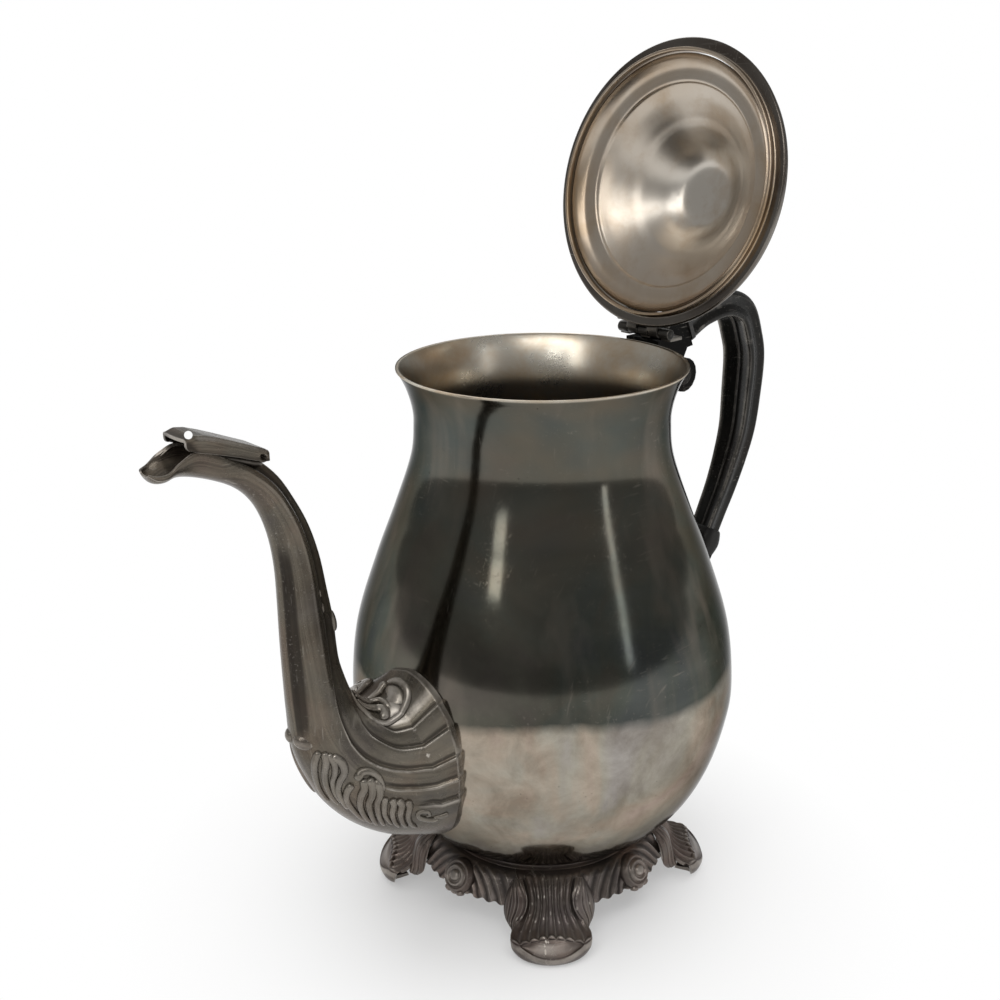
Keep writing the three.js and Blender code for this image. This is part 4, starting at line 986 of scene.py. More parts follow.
def spout_out(h, side, s):
    """The outward direction of the spout's smooth surface."""
    step_h, step_s = 0.004, 0.02
    across = spout_at(min(h + step_h, 1), side, s) - spout_at(max(h - step_h, 0), side, s)
    along = spout_at(h, side, min(s + step_s, SPOUT_END)) - spout_at(h, side, s - step_s)
    if side > 0:
        across.negate()
    if across.length < 1e-6:
        across = Vector((0, 1, 0))
    return along.cross(across).normalized()


def half_girth(s):
    """Half of the way round the spout, in millimetres."""
    under_r, under_z, back_r, back_z, half = spout_station(max(s, 0.0))
    depth = math.dist((under_r, under_z), (back_r, back_z)) / 2
    return math.pi * math.sqrt((depth * depth + half * half) / 2)


def spout_relief(h, s):
    """Height of the relief in shares of a terrace, and its shade from dark hollow to rubbed ridge, with a
    painted highlight on the pale blade by the scroll.
    """
    girth = half_girth(s)
    edges = [line_at(line, s) for line, _ in TERRACES]
    height, shade = 0.0, 0.5
    for i, (_, last) in enumerate(TERRACES):
        strength = 1 - smooth(last - 0.9, last + 0.1, s)
        if i == 3:
            strength *= mix(1.0, 0.35, smooth(1.6, 2.1, s))
        if i == 2:
            strength *= mix(1.0, 0.6, smooth(4.5, 7.0, s))
        if not strength:
            continue
        over = h - edges[i]
        width = max(edges[i + 1] - edges[i], 0.05) if i < 4 else 0.1
        step = smooth(-0.5 / girth, 0.5 / girth, over)
        height += strength * step * (1 - smooth(0.0, width, over))
        shade += strength * (0.45 * bump(over * girth, 0.4, 0.45) - 0.42 * bump(over * girth, -0.9, 0.8))
    # Two strips along the neck and the keel under it are made darker
    on_neck = smooth(4.0, 6.5, s) * (1 - smooth(13.5, 15.0, s))
    shade -= on_neck * 0.2 * (1 - smooth(edges[2] - 0.05, edges[2], h)) * smooth(0.1, 0.2, h)
    shade -= on_neck * 0.13 * smooth(edges[3], edges[3] + 0.05, h) * (1 - smooth(0.74, 0.78, h))
    # The pale blade between the scroll and the first terrace is a painted highlight
    blade = smooth(0.165, 0.18, h) * (1 - smooth(0.205, 0.225, h)) * (1 - smooth(1.2, 2.6, s))
    shade += 0.4 * blade
    keel = smooth(5.0, 5.8, s) * (1 - smooth(10.0, 11.4, s))
    shade -= keel * 0.45 * smooth(0.74, 0.79, h) * (1 - smooth(0.9, 0.93, h))
    return height, min(max(shade, 0.0), 1.0)


# The s of each row of the spout's grid, by its share of the grid's length
SPOUT_ROWS = [
    (0.0, -1.0), (0.11, 0.0), (0.5, 4.0), (0.62, 7.0), (0.78, 14.0), (0.87, 16.0), (1.0, 20.0),
]
# The h of the open mouth's edge, by s
MOUTH_EDGE = [
    (14.1, 0.0), (15.1, 0.36), (15.5, 0.4), (16.0, 0.42), (17.0, 0.47), (17.5, 0.49), (20.0, 0.49),
]


def spout_column(share, s):
    """The h of a column, so that columns follow the terraces and crowd at their edges."""
    table = [(0.0, 0.0)]
    close = min(0.55 / half_girth(s), 0.022)
    for middle, (line, _) in zip(COLUMN_SHARES, TERRACES):
        edge = line_at(line, s)
        table += [(middle - 0.02, edge - close), (middle + 0.02, edge + close)]
    return line_at(table + [(1.0, 1.0)], share)


def spout_sheet_place(depth):
    """Maps the spout's grid: its relief, the rounded foot of the pad and the open mouth at the tip."""
    def place(u, v):
        s = line_at(SPOUT_ROWS, v)
        side = -1 if u <= 0.5 else 1
        share = min(u, 1 - u) * 2
        opening = line_at(MOUTH_EDGE, s)
        h = mix(opening, 1.0, spout_column(share, s))
        point = spout_at(h, side, s)
        out = spout_out(h, side, s)
        height, shade = spout_relief(h, s)
        lift = height * depth
        # The open mouth's thin lip is painted bright, as rubbed wear and a painted highlight
        if opening > 0:
            rim = smooth(0.0, 0.05, share)
            lift -= 0.5 * (1 - rim)
            shade = mix(0.85, shade, rim)
        if s < -0.86:
            rim = (s + 1) / 0.14
            drop = 2.2 * (1 - math.sqrt(max(1 - (1 - rim) ** 2, 0.0)))
            point = on_pad(point.z, math.atan2(point.y, -point.x) * math.hypot(point.x, point.y),
                           math.hypot(point.x, point.y) - body_radius(point.z) - drop)
            shade = 0.75
        return point + out * lift, shade
    return place


def tendril(path, radius, rows=28, columns=12, flat=1.0, crest=0.3):
    """A tapered rod along a path of places and outward directions, with round ends."""
    steps = [path(i / rows) for i in range(rows + 1)]
    length = sum((b[0] - a[0]).length for a, b in zip(steps, steps[1:]))
    blunt = 8 if length > 6 * radius(0.5) else 2

    def place(u, v):
        i = min(max(round(v * rows), 0), rows)
        here, out = steps[i]
        side = (steps[min(i + 1, rows)][0] - steps[max(i - 1, 0)][0]).cross(out).normalized()
        share = i / rows
        size = radius(share) * math.sqrt(max(1 - (2 * share - 1) ** blunt, 0.0))
        turn = u * math.tau
        point = here + side * (size * math.cos(turn)) + out * (size * flat * math.sin(turn))
        # Each rod is painted lighter on its outward crest, as rubbed wear and a painted highlight, and darker
        # on its side towards the casting
        return point, 0.44 + crest * math.sin(turn)
    bm = formed(columns, rows, place, True)
    bmesh.ops.recalc_face_normals(bm, faces=bm.faces)
    return bm


def tapered(start, end):
    """A radius that runs from one end of a rod to the other."""
    return lambda share: mix(start, end, share)


def surface_path(side, line, lift):
    """A path over the spout through places of s and h, with its outward directions."""
    def path(share):
        s, h = spline(line, share)
        out = spout_out(h, side, s)
        height = spout_relief(h, s)[0]
        return spout_at(h, side, s) + out * (lift + 0.8 * height), out
    return path


def build_spout(sizes):
    depth = sizes.terrace / MM
    bm = formed(210, 200, spout_sheet_place(depth))
    bmesh.ops.remove_doubles(bm, verts=[v for v in bm.verts if v.is_boundary], dist=WELD)
    # The neck's own middle is 103 mm from the axis between these heights, and the wall thins at the tip
    solidified(bm, SPOUT_WALL,
               lambda place, normal: normal.x * (place.x - AXIS_X / MM + 103) * (125 < place.z < 150),
               lambda place: 1 - 0.6 * smooth(144, 150, AXIS_X / MM - place.x))
    halves = ["spout_half_left", "spout_half_right"]
    finish_piece("spout_shell", bm, "pot", "spout_casting", halves, 50.0, True)
    leaves, scroll = bmesh.new(), bmesh.new()
    for side in (-1, 1):
        for size, line in LEAF_RIBS:
            radius = tapered(1.25 * size, 0.6 * size)
            joined(leaves, tendril(surface_path(side, line, 0.1), radius, 40, 14, 0.85))
        for start, end, lift, flat, line in SCROLL_RODS:
            line = [(s, h + (FAR_SHIFT if side > 0 else 0.0)) for s, h in line]
            # The scroll's rods get a stronger crest, a painted highlight as well as rubbing
            joined(scroll, tendril(surface_path(side, line, lift), tapered(start, end), 60, 16, flat, 0.45))
        for near, far, h, size in NECK_STUDS:
            line = [(near, h), (mix(near, far, 0.5), h), (far, h)]
            joined(scroll, tendril(surface_path(side, line, -0.3), tapered(size, 0.8 * size), 24, 14, 0.9))
        joined(leaves, tendril(surface_path(side, COLLAR_ROD, -1.3), tapered(1.8, 3.7), 30, 16, 0.9))
    finish_piece("spout_leaves", leaves, "pot", "spout_casting", (), 50.0, True)
    finish_piece("spout_scroll", scroll, "pot", "spout_casting", (), 50.0, True)


# The hood's top and its lower edge as distance from the axis and height, from its tail to its front
HOOD_TOP = [
    (115.6, 198.6), (117.3, 199.3), (121.5, 201.1), (127.0, 203.5), (132.3, 205.7), (136.5, 207.2),
    (139.5, 207.7), (143.2, 207.5),
]
HOOD_EDGE = [
    (115.6, 195.3), (117.0, 195.5), (121.0, 196.6), (126.2, 198.6), (131.9, 200.5), (134.7, 201.4),
    (139.5, 202.7), (143.2, 203.7),
]
HOOD_TAIL, HOOD_FRONT, HOOD_HALF, HOOD_WALL = 115.9, 143.0, 6.9, 1.0
TAIL_SHARE = 0.12
HOLE_AT, HOLE_RADIUS, HOLE_REACH, HOLE_SINK = (-139.1, -2.0, 206.9), 1.2, 26.0, 5.0
# The block under the hood's tail: its ends, its half width and its half height
SEAT_ENDS, SEAT_HALF, SEAT_RISE = (118.2, 133.0), 5.9, 2.0


def arched(u):
    """Sideways and upward shares of an arch with straight flanks, round shoulders and a flat top."""
    side, share = (-1, u) if u <= 0.5 else (1, 1 - u)
    if share < 0.3:
        return side, share / 0.3 * 0.7
    if share < 0.42:
        turn = (share - 0.3) / 0.12 * math.pi / 2
        return side * (0.8 + 0.2 * math.cos(turn)), 0.7 + 0.3 * math.sin(turn)
    return side * 0.8 * (0.5 - share) / 0.08, 1.0


def hood_place(u, v):
    """Maps the hood's sheet: its squared tail first, then its flat top and straight flanks."""
    r = mix(HOOD_TAIL, HOOD_FRONT, max(v - TAIL_SHARE, 0.0) / (1 - TAIL_SHARE))
    nose = smooth(HOOD_FRONT - 5.0, HOOD_FRONT, r)
    across, up = arched(u)
    top, low = line_at(HOOD_TOP, r) - 0.5 * nose ** 2, line_at(HOOD_EDGE, r)
    tail = 1 - smooth(HOOD_TAIL, HOOD_TAIL + 1.7, r)
    half = HOOD_HALF * (1 - 0.06 * nose ** 3) - 0.5 * tail ** 2
    r -= nose * (0.5 * across ** 2 + 0.8 * abs(2 * u - 1) ** 8)
    z = low + (top - low) * up * (1 - 0.08 * tail ** 2)
    notch = 1.5 * bump(r, HOOD_TAIL + 2.0, 0.9) * bump(up, 0.28, 0.2)
    point = Vector((-r, (half - notch) * across, z))
    if v < TAIL_SHARE:
        point = Vector((-r, half * across * v / TAIL_SHARE, mix(low, z, v / TAIL_SHARE)))
    # Brighter along the shoulders; the lower edge of the flanks, the notch and the front of the mouth are
    # painted dark, as painted shade
    shade = 0.5 + 0.3 * bump(up, 0.85, 0.15) - 0.3 * bump(up, 0.0, 0.3) - 0.4 * notch - 0.5 * nose
    return point, max(shade, 0.0)


def seat_place(u, v):
    """Maps the block between the hood's tail and the neck, painted fully dark as the shade under the hood's
    flanks.
    """
    r = mix(*SEAT_ENDS, v)
    turn = u * math.tau
    low = line_at(HOOD_EDGE, r)
    return Vector((-r, -SEAT_HALF * math.cos(turn), low - 1.0 + SEAT_RISE * math.sin(turn))), 0.0


def build_hood():
    """The plate over the mouth, its round hole, drilled towards the camera, and the block that it sits on,
    painted dark as shade.
    """
    bm = formed(100, 100, hood_place)
    solidified(bm, HOOD_WALL, lambda place, normal: normal.z)
    cover = finish_piece("spout_cover", bm, "pot", "spout_casting", ["spout_hood"], 35.0, True)
    place = at(*HOLE_AT)
    sight = (place - Vector(CAMERA_AT)).normalized()
    turn = sight.to_track_quat("Z", "Y").to_matrix().to_4x4()
    middle = Matrix.Translation(place + sight * HOLE_SINK * MM)
    cut_with(cover, add_rod(bmesh.new(), HOLE_RADIUS, HOLE_REACH, middle @ turn, 32), "hood_hole")
    finish_piece("hood_seat", closed_form(32, 30, seat_place), "pot", "spout_casting")


# Handle

# The bar's middle line as distance from the axis and height
HANDLE_PATH = [
    (71.0, 208.0), (81.0, 212.2), (95.3, 213.7), (106.2, 208.9), (111.6, 197.9), (113.7, 188.7),
    (113.1, 174.9), (111.6, 160.2), (107.9, 148.2), (102.7, 136.2), (97.0, 125.7), (91.8, 116.0),
]
HANDLE_STEPS = 200
HANDLE_LINE = even_line(HANDLE_PATH, HANDLE_STEPS)
HANDLE_HALF, HANDLE_DEPTH = 7.6, 5.2

# Round the bar: outward share and sideways share, from the middle of the inner face round the near side
HANDLE_SECTION = [
    (-0.72, 0.0), (-0.64, 0.1), (-0.82, 0.45), (-0.98, 0.78), (-0.9, 0.96), (-0.55, 0.98), (-0.1, 0.86),
    (0.25, 0.9), (0.6, 0.97), (0.88, 0.82), (0.95, 0.66), (0.72, 0.5), (0.72, 0.38), (1.02, 0.22),
    (1.12, 0.0),
]


def handle_frame(share):
    """The bar's middle, its outward direction and its half width and half depth at a share of its length."""
    where = share * HANDLE_STEPS
    i = min(int(where), HANDLE_STEPS - 1)
    (r0, z0), (r1, z1) = HANDLE_LINE[i], HANDLE_LINE[i + 1]
    length = math.dist((r0, z0), (r1, z1))
    middle = Vector((mix(r0, r1, where - i), 0, mix(z0, z1, where - i)))
    out = Vector(((z0 - z1) / length, 0, (r1 - r0) / length))
    taper = smooth(0.42, 1.0, share)
    return middle, out, HANDLE_HALF * mix(1, 0.66, taper), HANDLE_DEPTH * mix(1, 0.78, taper)


def handle_place(rib):
    """Maps the bar: its section, and a rib of a height along its inner face."""
    def place(u, v):
        middle, out, half, depth = handle_frame(v)
        side = -1 if u <= 0.5 else 1
        share = min(u, 1 - u) * 2
        outward, across = spline(HANDLE_SECTION, share)
        ridge = rib * bump(share, 0.0, 0.04)
        point = middle + out * (outward * depth - ridge) + Vector((0, side * across * half, 0))
        # The rib and the inner edges are painted lighter, as rubbed wear and painted highlight lines, and the
        # outer groove darker
        shade = 0.5 + 0.4 * bump(share, 0, 0.05) + 0.35 * bump(share, 0.24, 0.06)
        return point, clamped(shade - 0.4 * bump(share, 0.8, 0.05))
    return place


# The cup at the handle's lower end: radius, height, half width and half depth
CUP_LINE = [
    (93.9, 119.8, 5.3, 4.4), (93.5, 119.1, 5.8, 4.9), (92.3, 116.8, 6.2, 5.7), (91.0, 114.3, 6.4, 5.7),
    (89.1, 110.8, 5.8, 4.6), (88.6, 109.9, 5.1, 3.9),
]
CUP_OUT = (0.882, -0.473)

# The round ends of the scroll under the handle: where they are, and the radius and length of each
SCROLL_AT = (70.2, 189.2)
SCROLL_EYES = ((3.9, 11.5), (2.1, 12.4))


def cup_place(u, v):
    """Maps the cup: a boxy round that swells below the bar's end."""
    r, z, half, depth = spline(CUP_LINE, v)
    out, side = math.cos(math.tau * u), math.sin(math.tau * u)
    boxy = (out ** 4 + side ** 4) ** -0.25
    out *= boxy * depth
    point = Vector((r + CUP_OUT[0] * out, side * boxy * half, z + CUP_OUT[1] * out))
    return point, 0.45 + 0.3 * bump(v, 0.08, 0.05)


def build_handle(sizes):
    bar = closed_form(96, 170, handle_place(sizes.rib / MM))
    finish_piece("handle_bar", bar, "pot", "handle_casting", ["handle_grip"])
    cup = closed_form(64, 50, cup_place)
    finish_piece("handle_cup", cup, "pot", "handle_casting", material="socket_casting")
    eyes = bmesh.new()
    for radius, length in SCROLL_EYES:
        joined(eyes, softened(cross_rod(radius, length, SCROLL_AT[0], 0, SCROLL_AT[1], 40), 0.5, 4, 60))
    finish_piece("scroll_eyes", eyes, "pot", "handle_casting", material="socket_casting")
    for end in ("upper", "lower"):
        for part, material in (("_insulator", "insulator"), ("_handle_socket", "socket_casting"),
                               ("_handle_pin", "hinge_metal")):
            set_material(end + part, material)


def set_material(name, material):
    """Gives a CAD node that stays in view its material."""
    for slot in frame["nodes"][name].material_slots:
        slot.material = MATERIALS[material]


# Feet and skirt

FOOT_TURN, FOOT_STEP = 50.1, 90.0
FOOT_NAMES = ("handle_left", "spout_left", "spout_right", "handle_right")
SKIRT_NAMES = ("left", "spout", "right", "handle")

# Down the middle of a foot: radius, height, half width, and how far its sides fall back
FOOT_LINE = [
    (38.6, 24.1, 12.0, 2.0), (42.6, 23.9, 11.8, 2.4), (46.0, 22.2, 10.6, 2.6), (48.8, 19.2, 9.5, 2.6),
    (50.4, 15.8, 9.5, 2.8), (52.2, 12.8, 10.8, 3.6), (54.8, 10.8, 12.4, 5.0), (57.6, 9.7, 13.6, 6.4),
    (60.0, 9.0, 14.3, 7.6), (61.9, 8.3, 14.6, 8.2), (63.2, 6.6, 14.6, 8.5), (63.9, 4.2, 14.0, 8.3),
    (63.2, 1.6, 11.8, 7.0), (61.4, 0.2, 8.0, 4.5), (58.0, 0.0, 6.5, 3.0), (54.0, 0.8, 6.0, 2.0),
]
FOOT_FLUTES = 9
FOOT_WALL, LEAF_WALL, SKIRT_WALL = 1.5, 1.3, 1.3
# Shares of a foot's length: the brow that ends the flutes, in its middle and at its sides, and the rim below
BROW_MIDDLE, BROW_SIDE, RIM_MIDDLE = 0.505, 0.64, 0.735
# The direction of the relief, up to a share of a foot's length: its leg, the top of its toe, and its front
FOOT_OUT = ((0.4, (0.8, 0, 0.6)), (0.56, (0.25, 0, 0.95)), (2.0, (0.7, 0, 0.7)))


def foot_place(flute):
    """Maps a foot's sheet: concave flutes that fan to the toe, a lens-like scoop, and a pale rim under it."""
    def place(u, v):
        across = 2 * u - 1
        r, z, half, back = spline(FOOT_LINE, v)
        point = Vector((r - back * (1 - math.sqrt(1 - (0.97 * across) ** 2)), half * across, z))
        lens = max(1 - (across / 0.8) ** 2, 0.0)
        brow, rim = mix(BROW_SIDE, BROW_MIDDLE, lens), mix(BROW_SIDE, RIM_MIDDLE, lens)
        sway = 0.012 * math.sin(math.tau * min(v / brow, 1.0)) * math.sin(math.pi * across)
        cell = FOOT_FLUTES * (u + sway)
        ridge = abs(2 * (cell - math.floor(cell)) - 1)
        end = brow - 0.035 + 0.03 * ridge ** 2
        inside = smooth(0.04, 0.12, v) * (1 - smooth(end - 0.03, end, v))
        edge = 1 - smooth(0.9, 1.0, abs(across))
        depth = inside * (1 - ridge ** 2) * (0.3 + 0.7 * edge)
        cup = bump(v, end + 0.004, 0.018) * (0.4 + 0.6 * (1 - ridge ** 2))
        share = clamped((v - brow) / max(rim - brow, 0.01))
        scoop = math.sin(math.pi * share) * lens ** 0.5
        lip = smooth(rim - 0.01, rim + 0.012, v) * (1 - smooth(rim + 0.05, rim + 0.1, v))
        out = Vector(next(direction for end, direction in FOOT_OUT if v < end))
        point += out * (flute * (0.6 * cup + 0.45 * lip - depth) - 1.2 * scoop)
        # Flute ridges are rubbed; the cups at the flutes' ends and the scoop get painted highlights, the
        # scoop partly rubbed, and the flutes lighten towards their ends; the brow line and the groove over
        # the rim are painted dark, as painted shade
        shade = 0.45 + 0.35 * inside * ridge ** 3 - 0.1 * depth + 0.5 * cup * smooth(0.35, 0.45, v)
        shade += 0.3 * depth * smooth(0.34, 0.48, v) + 0.35 * scoop + 0.5 * lip
        shade -= 0.5 * bump(v, brow, 0.008) + 0.4 * bump(v, rim - 0.012, 0.008) * min(lens * 4, 1.0)
        # The sole under the toe is painted dark, as painted shade
        return point, 0.3 if v > 0.82 else clamped(shade)
    return place


# The side leaf of a foot: its inner and outer lines as radius, sideways place and height
LEAF_INNER = [
    (43.0, 9.8, 24.0), (46.6, 8.9, 21.8), (49.0, 8.2, 18.4), (50.0, 8.9, 14.6), (51.0, 10.8, 10.6),
    (51.6, 12.0, 7.4),
]
LEAF_OUTER = [
    (41.2, 12.4, 23.0), (43.0, 14.2, 20.6), (44.4, 15.9, 17.4), (45.4, 16.6, 13.4), (46.4, 16.0, 9.2),
    (48.6, 13.4, 5.8),
]


def leaf_place(side):
    """Maps a side leaf: a rounded lobe with ribs that sweep from the skirt to its lower edge."""
    def place(u, v):
        inner, outer = Vector(spline(LEAF_INNER, v)), Vector(spline(LEAF_OUTER, v))
        point = inner.lerp(outer, u)
        line = 3.4 * (u ** 1.1 + 0.25 * math.sin(math.pi * v))
        ridge = abs(2 * (line - math.floor(line)) - 1)
        swell = math.sin(math.pi * clamped(u)) ** 0.7
        lift = 1.7 * swell - 0.55 * ridge ** 3 * swell
        point += Vector((0.85, 0.45, 0.2)) * lift
        point.y *= side
        return point, clamped(0.42 + 0.14 * swell - 0.4 * ridge ** 4 + 0.25 * bump(ridge, 0.55, 0.2))
    return place


def free_path(points, out):
    """A path through places, with one outward direction."""
    return lambda share: (Vector(spline(points, share)), Vector(out).normalized())


def foot_sheet(columns, rows, place, wall):
    """A walled sheet whose front looks away from the pot's axis."""
    bm = formed(columns, rows, place)
    solidified(bm, wall, lambda place, normal: normal.x)
    return bm


def finish_casting(bm, kind, name, degrees):
    """Turns a foot or a quarter of the skirt to its place about the pot and finishes it."""
    finish_piece(kind + "_casting_" + name, carried(bm, turned_to(degrees)), "pot", "foot_casting",
                 [kind + "_" + name], 50.0, True)


def build_feet(sizes):
    for k, name in enumerate(FOOT_NAMES):
        bm = foot_sheet(160, 130, foot_place(sizes.flute / MM), FOOT_WALL)
        for side in (-1, 1):
            joined(bm, foot_sheet(60, 50, leaf_place(side), LEAF_WALL))
        finish_casting(bm, "foot", name, FOOT_TURN + FOOT_STEP * k)


# Down the middle of a quarter of the skirt, as radius and height, and its half width in degrees
SKIRT_LINE = [
    (38.4, 24.0), (41.0, 23.7), (43.0, 22.2), (44.3, 19.8), (45.6, 17.2), (47.0, 14.8), (47.9, 13.6),
]
SKIRT_HALF_TURN = 30.0
ROSETTE_AT, ROSETTE_TILT = (45.6, 18.4), 62.0
# The sideways step between the three drops under a rosette
DROP_STEP = 3.4
ROSETTE_LINE = [
    (0.0, 4.1), (1.2, 4.0), (1.9, 3.4), (2.2, 2.9), (2.7, 2.9), (3.2, 3.4), (3.7, 3.3), (4.1, 2.6),
    (4.5, 2.2), (5.0, 2.5), (5.5, 2.4), (6.0, 1.6), (6.5, 0.4), (6.6, -1.4),
]


def skirt_place(u, v):
    """Maps a quarter of the skirt: folds that fan from its middle, and a scalloped lower edge."""
    across = 2 * u - 1
    turn = math.radians(SKIRT_HALF_TURN * across)
    scallop = 0.5 - 0.5 * math.cos(math.tau * 5 * abs(across) + 0.6)
    r, z = spline(SKIRT_LINE, v * (1 - 0.12 * scallop * smooth(0.5, 1.0, v)))
    line = 7.0 * (abs(across) ** 0.85 + 0.55 * (1 - v) ** 1.6 * (1 - abs(across)) - 0.12 * v)
    ridge = abs(2 * (line - math.floor(line)) - 1)
    inside = smooth(0.12, 0.3, v) * (1 - smooth(0.96, 1.0, v))
    lift = 0.75 * inside * ridge ** 1.4
    r += lift
    shade = 0.42 + 0.42 * inside * ridge ** 3 - 0.3 * inside * (1 - ridge)
    return Vector((r * math.cos(turn), r * math.sin(turn), z + 0.3 * lift)), clamped(shade)


def rosette_form():
    """The round boss, turned about its own axis, with bright crests and dark grooves."""
    bm = spun(smoothed(ROSETTE_LINE, 60), 40, lambda x, y, z: Vector((x, y, z)) * MM, False)
    close_holes(bm)
    bmesh.ops.recalc_face_normals(bm, faces=bm.faces)
    painted(bm, "relief", lambda x, y, z: 0.25 + 0.18 * max(z, 0))
    place = Matrix.Translation(at(ROSETTE_AT[0], 0, ROSETTE_AT[1]))
    return carried(bm, place @ Matrix.Rotation(math.radians(ROSETTE_TILT), 4, "Y"))


def build_skirt():
    for k, name in enumerate(SKIRT_NAMES):
        bm = foot_sheet(130, 40, skirt_place, SKIRT_WALL)
        joined(bm, rosette_form())
        for across in (-DROP_STEP, 0.0, DROP_STEP):
            low = 11.9 + 0.5 * abs(across) / DROP_STEP
            points = [(47.2, across * 0.6, 15.2), (48.6, across * 0.85, 13.6), (48.4, across, low)]
            joined(bm, tendril(free_path(points, (1, 0, 0.3)), tapered(1.36, 1.7), 16, 12))
        finish_casting(bm, "skirt", name, FOOT_TURN + FOOT_STEP * (k + 0.5))


# Stage

def stage_material(shade):
    """Pale floor that holds a soft shadow near the pot and ends in plain white."""
    material = bpy.data.materials.new("floor")
    material.use_nodes = True
    tree = material.node_tree
    tree.nodes.clear()
    w = Wiring(tree)
    where = w.node("ShaderNodeTexCoord").outputs["Object"]
    distance = w.node("ShaderNodeVectorMath", ((0, where),), operation="LENGTH").outputs["Value"]
    grain = w.times(w.maths("SUBTRACT", w.noise(where, 5.0, 3.0), 0.5), 0.02)
    colour = w.mixed(w.plus(grain, 0.5), (shade - 0.03,) * 3, (shade + 0.03,) * 3)
    diffuse = w.node("ShaderNodeBsdfDiffuse", (("Color", colour),)).outputs[0]
    white = w.node("ShaderNodeEmission", (("Color", (1, 1, 1, 1)), ("Strength", 1.0))).outputs[0]
    fade = w.ramp(w.times(distance, 2.0), (0.1, 0.35), (0.3, 1.0))
    path = w.node("ShaderNodeLightPath").outputs
    seen = w.maths("MAXIMUM", w.maths("MAXIMUM", path["Is Camera Ray"], path["Is Glossy Ray"]),
                   path["Is Transmission Ray"])
    blend = w.node("ShaderNodeMixShader", ((0, w.times(fade, seen)), (1, diffuse), (2, white)))
    w.node("ShaderNodeOutputMaterial", (("Surface", blend.outputs[0]),))
    return material


def build_floor(settings):
    bm = bmesh.new()
    bmesh.ops.create_circle(bm, cap_ends=True, segments=96, radius=6.0)
    mesh = as_mesh("floor", bm)
    mesh.materials.append(stage_material(settings.floor_shade))
    floor = shown("floor", mesh)


def build_world(settings):
    """White to the camera; to the metal a grey room, a little paler overhead."""
    world = bpy.data.worlds.new("room")
    world.use_nodes = True
    bpy.context.scene.world = world
    tree = world.node_tree
    tree.nodes.clear()
    w = Wiring(tree)
    direction = w.node("ShaderNodeTexCoord").outputs["Generated"]
    up = w.node("ShaderNodeSeparateXYZ", ((0, direction),)).outputs["Z"]
    height = w.plus(w.times(up, 0.5), 0.5)
    sky = w.ramp(height, (0.5, 0.45), (0.53, 0.38), (0.6, 0.42), (0.75, 0.5), (1.0, 0.45))
    path = w.node("ShaderNodeLightPath").outputs
    seen = w.mixed(path["Is Camera Ray"], sky, (1.0, 1.0, 1.0))
    strength = w.plus(w.times(path["Is Camera Ray"], 1.0 - settings.sky), settings.sky)
    ground = w.node("ShaderNodeBackground", (("Color", seen), ("Strength", strength)))
    w.node("ShaderNodeOutputWorld", (("Surface", ground.outputs[0]),))


def area_lamp(name, place, target, size, power, colour, mirrored):
    """A soft lamp; one that is not mirrored lights the floor and the dull pieces, and no plate shows it."""
    lamp = bpy.data.lights.new(name, "AREA")
    lamp.shape = "RECTANGLE"
    lamp.size, lamp.size_y = size
    lamp.energy = power
    lamp.color = colour
    obj = shown(name, lamp)
    obj.location = place
    obj.rotation_euler = (Vector(target) - Vector(place)).to_track_quat("-Z", "Y").to_euler()
    obj.visible_glossy = mirrored


# The lamps: name, place, target, size, share of the power, colour, and whether the plates mirror them
POT_MIDDLE = (AXIS_X, 0, 0.12)
WHITE = (1.0, 1.0, 1.0)
LAMPS = (
    ("top", (-0.2, -0.2, 2.0), POT_MIDDLE, (2.0, 2.0), 1.0, WHITE, False),
    ("key", (-1.46, -0.38, 1.1), POT_MIDDLE, (0.26, 1.0), 0.1, (1.0, 0.98, 0.95), True),
    ("lid", (-0.66, -0.6, 1.2), (0.09, 0.02, 0.25), (0.9, 0.5), 0.11, WHITE, True),
    ("fill", (0.25, -1.5, 0.7), POT_MIDDLE, (0.12, 1.0), 0.03, (0.97, 0.98, 1.0), True),
    ("mouth", (-1.03, -0.72, 0.92), (0.05, 0.03, 0.2), (0.12, 0.12), 0.02, WHITE, True),
    ("back", (0.9, 1.2, 1.2), POT_MIDDLE, (0.8, 0.8), 0.1, WHITE, True),
)


def build_camera():
    camera = bpy.data.cameras.new("camera")
    camera.sensor_fit = "HORIZONTAL"
    camera.sensor_width = SENSOR_WIDTH
    camera.lens = SENSOR_WIDTH * LENS_SHARE
    camera.clip_start = 0.01
    eye = shown("camera", camera)
    right, up, back = (Vector(axis).normalized() for axis in CAMERA_AXES)
    turn = Matrix((right, up, back)).transposed()
    eye.matrix_world = Matrix.Translation(CAMERA_AT) @ turn.to_4x4()
    bpy.context.scene.camera = eye


def build_stage(settings):
    build_floor(settings)
    build_world(settings)
    for name, place, target, size, share, colour, mirrored in LAMPS:
        area_lamp(name, place, target, size, settings.lamp_power * share, colour, mirrored)
    build_camera()
    bpy.context.scene.view_settings.view_transform = "Standard"


# Settings, operators and panel

class PotSizes(bpy.types.PropertyGroup):
    wall: FloatProperty(name="Wall", description="Thickness of the vessel's wall", default=1.2 * MM,
                        unit="LENGTH", min=0.5 * MM, max=3 * MM)
    terrace: FloatProperty(name="Spout Terrace", description="Depth of the steps that run along the spout",
                           default=1.1 * MM, unit="LENGTH", min=0.0, max=2 * MM)
    flute: FloatProperty(name="Foot Flute", description="Depth of the flutes on the feet", default=0.9 * MM,
                         unit="LENGTH", min=0.0, max=2 * MM)
    rib: FloatProperty(name="Handle Rib", description="Height of the ribs along the handle", default=0.7 * MM,
                       unit="LENGTH", min=0.0, max=2 * MM)


def colour_property(name, description, value):
    return FloatVectorProperty(name=name, description=description, default=value, subtype="COLOR", size=3,
                               min=0.0, max=1.0)


